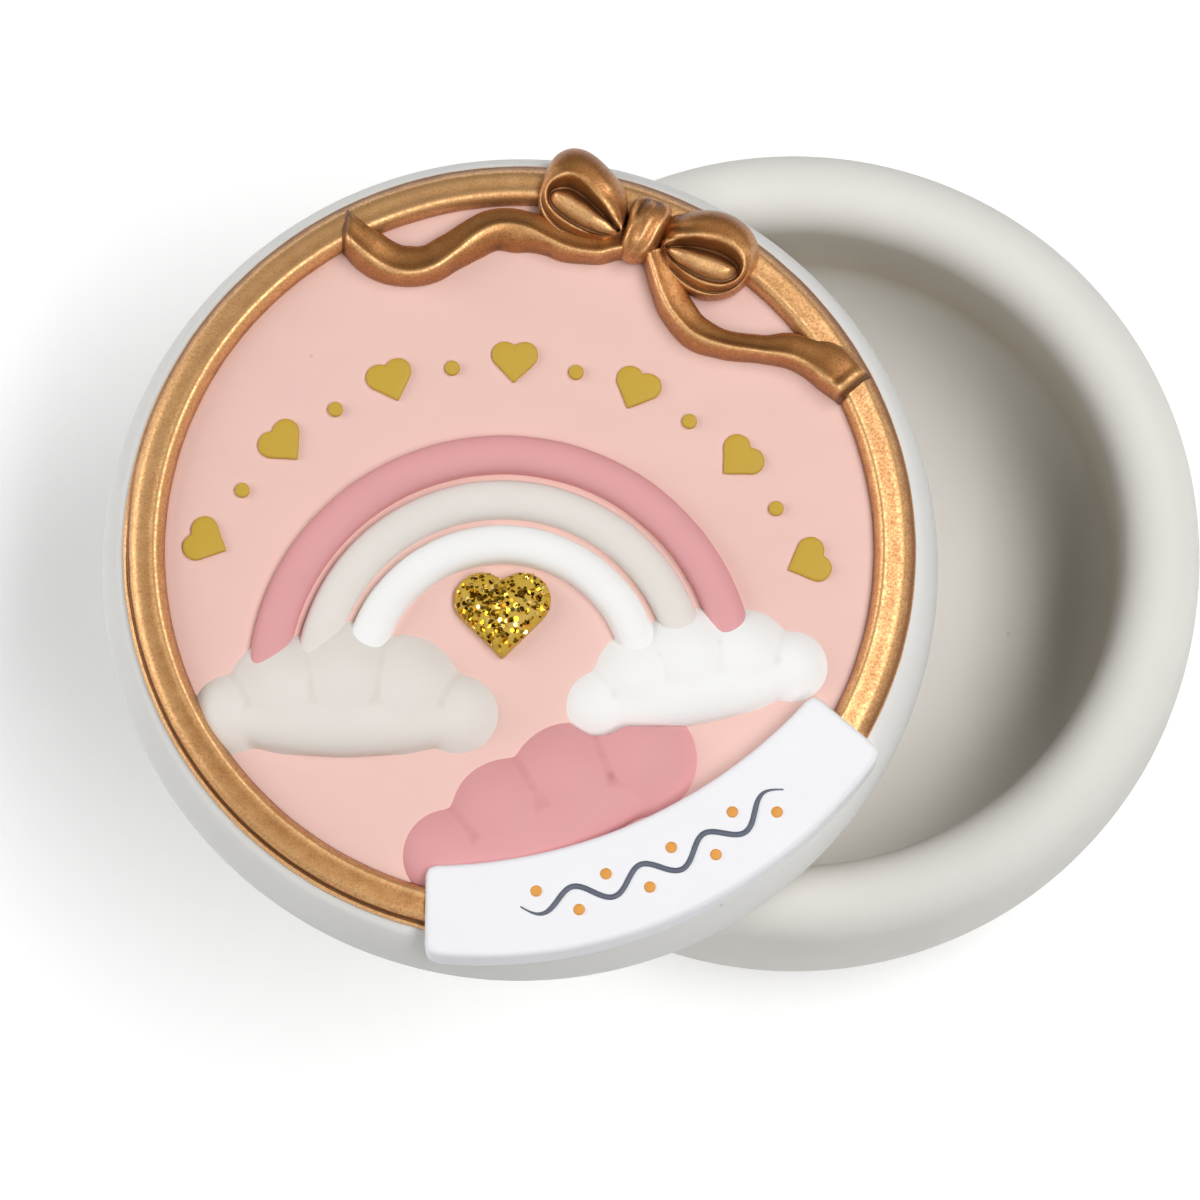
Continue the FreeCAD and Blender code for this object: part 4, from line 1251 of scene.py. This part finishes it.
class TOOTHBOX_OT_clouds(bpy.types.Operator):
    """Three low relief clouds of merged puffs"""

    bl_idname = "tooth_box.clouds"
    bl_label = "Clouds"

    # Colour, middle of the base line, tilt in degrees, radius of the middle and end puffs, pitch
    CLOUDS = {
        "left": ("cream", (-15.4, -18.4), 0.0, 6.0, 3.6, 5.0),
        "right": ("white", (16.4, -15.4), 12.0, 5.2, 3.2, 4.3),
        "front": ("rose", (7.0, -26.2), 24.3, 5.6, 4.2, 6.2),
    }
    # A puff's height as a share of its radius
    PUFF_RISE = 0.45
    # The body that joins the puffs, as shares of the middle puff: place, half depth and height
    BODY_PLACE, BODY_DEPTH, BODY_RISE = 0.55, 0.60, 0.84
    VOXEL = 0.22 * MM
    CUT_DEPTH = 1.2 * MM

    def ball(self, **place):
        """A new ball, alone selected."""
        bpy.ops.object.select_all(action="DESELECT")
        bpy.ops.mesh.primitive_ico_sphere_add(subdivisions=5, **place)
        return bpy.context.object

    def make_room(self, cloud, other):
        """Cut the cloud back where another one lies, whatever their heights; it keeps its crest values."""
        taller = 6
        crests = [point.value for point in cloud.data.attributes["crest"].data]
        uncut = kdtree.KDTree(len(crests))
        for vertex in cloud.data.vertices:
            uncut.insert(vertex.co, vertex.index)
        uncut.balance()
        room = bpy.data.objects[other].copy()
        room.data = room.data.copy()
        bpy.context.collection.objects.link(room)
        for vertex in room.data.vertices:
            vertex.co.z = FIELD_Z + (vertex.co.z - FIELD_Z) * taller
        clear = cloud.modifiers.new("clear", "BOOLEAN")
        clear.operation = "DIFFERENCE"
        clear.object = room
        bpy.ops.object.modifier_apply(modifier=clear.name)
        bpy.data.objects.remove(room)
        close_up(cloud)
        store(cloud, "crest", [crests[uncut.find(vertex.co)[1]] for vertex in cloud.data.vertices])

    def execute(self, context):
        for side, (tone, base, tilt, middle, end, pitch) in self.CLOUDS.items():
            base = Vector(base) * MM
            along = polar(1.0, math.radians(tilt))
            upward = Vector((-along.y, along.x))
            puffs = []
            first, last = -2, 1 if side == "front" else 2
            for index in range(first, last + 1):
                foot = (middle - (index / 2) ** 2 * (middle - end)) * MM
                radius = foot * (1 + self.PUFF_RISE ** 2) / (2 * self.PUFF_RISE)
                spot = base + along * (index * pitch * MM) + upward * foot
                puffs.append(self.ball(radius=radius, location=on_lid(spot, foot * self.PUFF_RISE - radius)))
            body_half = (last - first) / 2 * pitch + 0.5 * end
            body = base + along * ((first + last) / 2 * pitch * MM) + upward * (middle * self.BODY_PLACE * MM)
            puffs.append(self.ball(
                radius=MM,
                location=on_lid(body, 0.0),
                rotation=(0.0, 0.0, math.radians(tilt)),
                scale=(body_half, middle * self.BODY_DEPTH, middle * self.PUFF_RISE * self.BODY_RISE),
            ))
            cloud = join(puffs, f"cloud_{side}_puffs")
            bpy.ops.object.transform_apply(location=True, rotation=True, scale=True)
            bpy.ops.object.mode_set(mode="EDIT")
            bpy.ops.mesh.select_all(action="SELECT")
            bpy.ops.mesh.bisect(
                plane_co=(0.0, 0.0, FIELD_Z - self.CUT_DEPTH),
                plane_no=(0.0, 0.0, 1.0),
                use_fill=True,
                clear_inner=True,
            )
            bpy.ops.object.mode_set(mode="OBJECT")
            remesh = cloud.modifiers.new("one_skin", "REMESH")
            remesh.mode = "VOXEL"
            remesh.voxel_size = self.VOXEL
            bpy.ops.object.modifier_apply(modifier=remesh.name)
            soften(cloud, 20)
            close_up(cloud)
            roughen(cloud, 0.05 * MM, 2.5 * MM)
            mark_crests(cloud, 1.0 * MM, 12)
            if side == "front":
                self.make_room(cloud, "cloud_right_puffs")
            place_piece(cloud, "lid", *relief_finish(tone), f"cloud_{side}")
        return {"FINISHED"}


def heart_ring(middle, half, up, count=64):
    """Outline of a heart and its middle, once for each point; up is the direction of its lobes."""
    lobe, lobe_steps = half * math.sqrt(0.5), 16
    side = Vector((up.y, -up.x))

    def spot(x, y):
        return middle + side * x + up * y

    right = [spot(0.0, -half), spot(half, 0.0)]
    centre = Vector((half / 2, half / 2))
    swings = [math.radians(-45 + 180 * step / lobe_steps) for step in range(1, lobe_steps + 1)]
    lobes = [centre + polar(lobe, swing) for swing in swings]
    right += [spot(point.x, point.y) for point in lobes]
    left = [middle - side * (point - middle).dot(side) + up * (point - middle).dot(up) for point in right]
    places = [step + 0.5 for step in range(count // 2)]
    outline = spaced(right, places, len(places)) + spaced(left, places, len(places))[::-1]
    return outline, [spot(0.0, half * 0.2)] * count


# How far thick paint reaches into the field, and shares of a drop's height from its upright edge inwards
PAINT_FOOT = (0.0, -0.3 * MM)
PAINT_DROP = [(0.0, 0.4), (0.02, 0.62), (0.06, 0.80), (0.12, 0.91), (0.2, 0.97), (0.4, 1.0), (0.7, 1.0)]


class TOOTHBOX_OT_glitter_heart(bpy.types.Operator):
    """Raised heart strewn with gold glitter"""

    bl_idname = "tooth_box.glitter_heart"
    bl_label = "Glitter heart"

    # Shares of the height from the edge inwards
    CUSHION = [(0.0, 0.30), (0.08, 0.58), (0.18, 0.76), (0.32, 0.89), (0.5, 0.96), (0.75, 1.0)]
    SEED = 11
    FLAKE_SIDES = 6
    FLAKE_THICKNESS = 0.03 * MM
    FLAKE_GAP = 0.01 * MM
    FLAKE_LEAN = 0.33

    def execute(self, context):
        s = settings().relief
        low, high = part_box("glitter_heart")
        middle = Vector(((low.x + high.x) / 2 - LID_X, low.y - LID_Y + s.heart_half))
        curves = heart_ring(middle, s.heart_half, Vector((0.0, 1.0)), 96)
        profile = [PAINT_FOOT, *scaled(self.CUSHION, s.heart_height)]
        heart = relief("heart_painted", curves, profile, flat_top=True)
        refine(heart, 1)
        roughen(heart, 0.08 * MM, 0.7 * MM)
        mark_crests(heart)
        material = paint("heart_acrylic_mustard", settings().colours.mustard, "8A651C", 0.45)
        place_piece(heart, "lid", "glitter_gold", material, "glitter_heart")

        # Flakes lie every way on the wet paint; the same ones fall each time
        dice = random.Random(self.SEED)
        sides = self.FLAKE_SIDES
        points, faces, tints = [], [], []
        reach = s.heart_half * 1.25
        above = 10 * MM
        lowest = FIELD_Z + 0.35 * s.heart_height
        placed = 0
        while placed < s.flake_count:
            spot = middle + Vector((dice.uniform(-reach, reach), dice.uniform(-reach, reach)))
            hit, place, normal, _ = heart.ray_cast(on_lid(spot, above), Vector((0.0, 0.0, -1.0)))
            if not hit or place.z < lowest:
                continue
            lean = Vector((dice.gauss(0, 1), dice.gauss(0, 1), dice.gauss(0, 1))) * self.FLAKE_LEAN
            normal = (normal + lean).normalized()
            side = normal.orthogonal().normalized()
            across = normal.cross(side)
            radius = s.flake / 2 * dice.uniform(0.7, 1.25)
            spin = dice.uniform(0, math.pi)
            first = len(points)
            for lift in (self.FLAKE_GAP, self.FLAKE_GAP + self.FLAKE_THICKNESS):
                for corner in range(sides):
                    angle = spin + FULL_TURN / sides * corner
                    rim = side * math.cos(angle) + across * math.sin(angle)
                    points.append(place + rim * radius + normal * lift)
            faces.append([first + corner for corner in reversed(range(sides))])
            faces.append([first + sides + corner for corner in range(sides)])
            for corner in range(sides):
                other = (corner + 1) % sides
                faces.append([first + corner, first + other, first + sides + other, first + sides + corner])
            tints += [dice.random()] * (2 * sides)
            placed += 1
        flakes = fresh("glitter_flakes", points, faces=faces)
        store(flakes, "tint", tints)
        place_piece(flakes, "lid", "glitter_gold", glitter_foil())
        bpy.ops.object.shade_flat()
        return {"FINISHED"}


class TOOTHBOX_OT_garland(bpy.types.Operator):
    """Small mustard-gold hearts and dots in a fan"""

    bl_idname = "tooth_box.garland"
    bl_label = "Small hearts and dots"

    # Direction of the first heart and angle of the fan, in degrees
    START, SWEEP = 22.0, 132.0
    HEARTS = 7

    def execute(self, context):
        s = settings().relief
        material = paint("garland_acrylic_mustard", settings().colours.mustard, "9C7A26", 0.5, 1.8)
        step = self.SWEEP / (self.HEARTS - 1)
        hearts, dots = [], []
        profile = [PAINT_FOOT, *scaled(PAINT_DROP, s.garland_height)]
        for index in range(self.HEARTS):
            up = polar(1.0, math.radians(self.START + step * index))
            curves = heart_ring(RAINBOW_CENTRE + up * s.garland_radius, s.garland_heart, up)
            hearts.append(relief(f"small_heart_{index}", curves, profile, flat_top=True))
        for index in range(self.HEARTS - 1):
            spot = RAINBOW_CENTRE + polar(s.garland_radius, math.radians(self.START + step * (index + 0.5)))
            curves = round_dot(spot, s.garland_dot, 32)
            dots.append(relief(f"small_dot_{index}", curves, profile, flat_top=True))
        for pieces, kind in ((hearts, "hearts"), (dots, "dots")):
            piece = join(pieces, f"garland_{kind}")
            roughen(piece, 0.06 * MM, 0.9 * MM)
            mark_crests(piece)
            place_piece(piece, "lid", "mustard_gold", material, f"gold_{kind}")
        return {"FINISHED"}


OPERATORS = (
    TOOTHBOX_OT_stage,
    TOOTHBOX_OT_bowl,
    TOOTHBOX_OT_lid,
    TOOTHBOX_OT_moulding,
    TOOTHBOX_OT_bow,
    TOOTHBOX_OT_tails,
    TOOTHBOX_OT_banner,
    TOOTHBOX_OT_rainbow,
    TOOTHBOX_OT_clouds,
    TOOTHBOX_OT_glitter_heart,
    TOOTHBOX_OT_garland,
)


class TOOTHBOX_PT_panel(bpy.types.Panel):
    """The steps of the tooth box, in order"""

    bl_idname = "TOOTHBOX_PT_panel"
    bl_label = "Tooth box"
    bl_space_type = "VIEW_3D"
    bl_region_type = "UI"
    bl_category = "Tooth box"

    def draw(self, context):
        for operator in OPERATORS:
            self.layout.operator(operator.bl_idname)
        for group in ("bowl", "lid", "moulding", "bow", "banner", "relief", "colours"):
            box = self.layout.box()
            box.label(text=group.capitalize())
            values = getattr(settings(), group)
            for name in values.bl_rna.properties.keys():
                if name not in ("rna_type", "name"):
                    box.prop(values, name)


GROUPS = (
    BowlSizes,
    LidSizes,
    FrameSizes,
    BowSizes,
    BannerSizes,
    ReliefSizes,
    PaintColours,
    ToothBoxSettings,
)


def register():
    for item in (*GROUPS, *OPERATORS, TOOTHBOX_PT_panel):
        bpy.utils.register_class(item)
    bpy.types.Scene.tooth_box = PointerProperty(type=ToothBoxSettings)


def unregister():
    del bpy.types.Scene.tooth_box
    for item in reversed((*GROUPS, *OPERATORS, TOOTHBOX_PT_panel)):
        bpy.utils.unregister_class(item)


def main():
    register()
    for operator in OPERATORS:
        getattr(bpy.ops.tooth_box, operator.bl_idname.split(".")[1])()


if __name__ == "__main__":
    main()
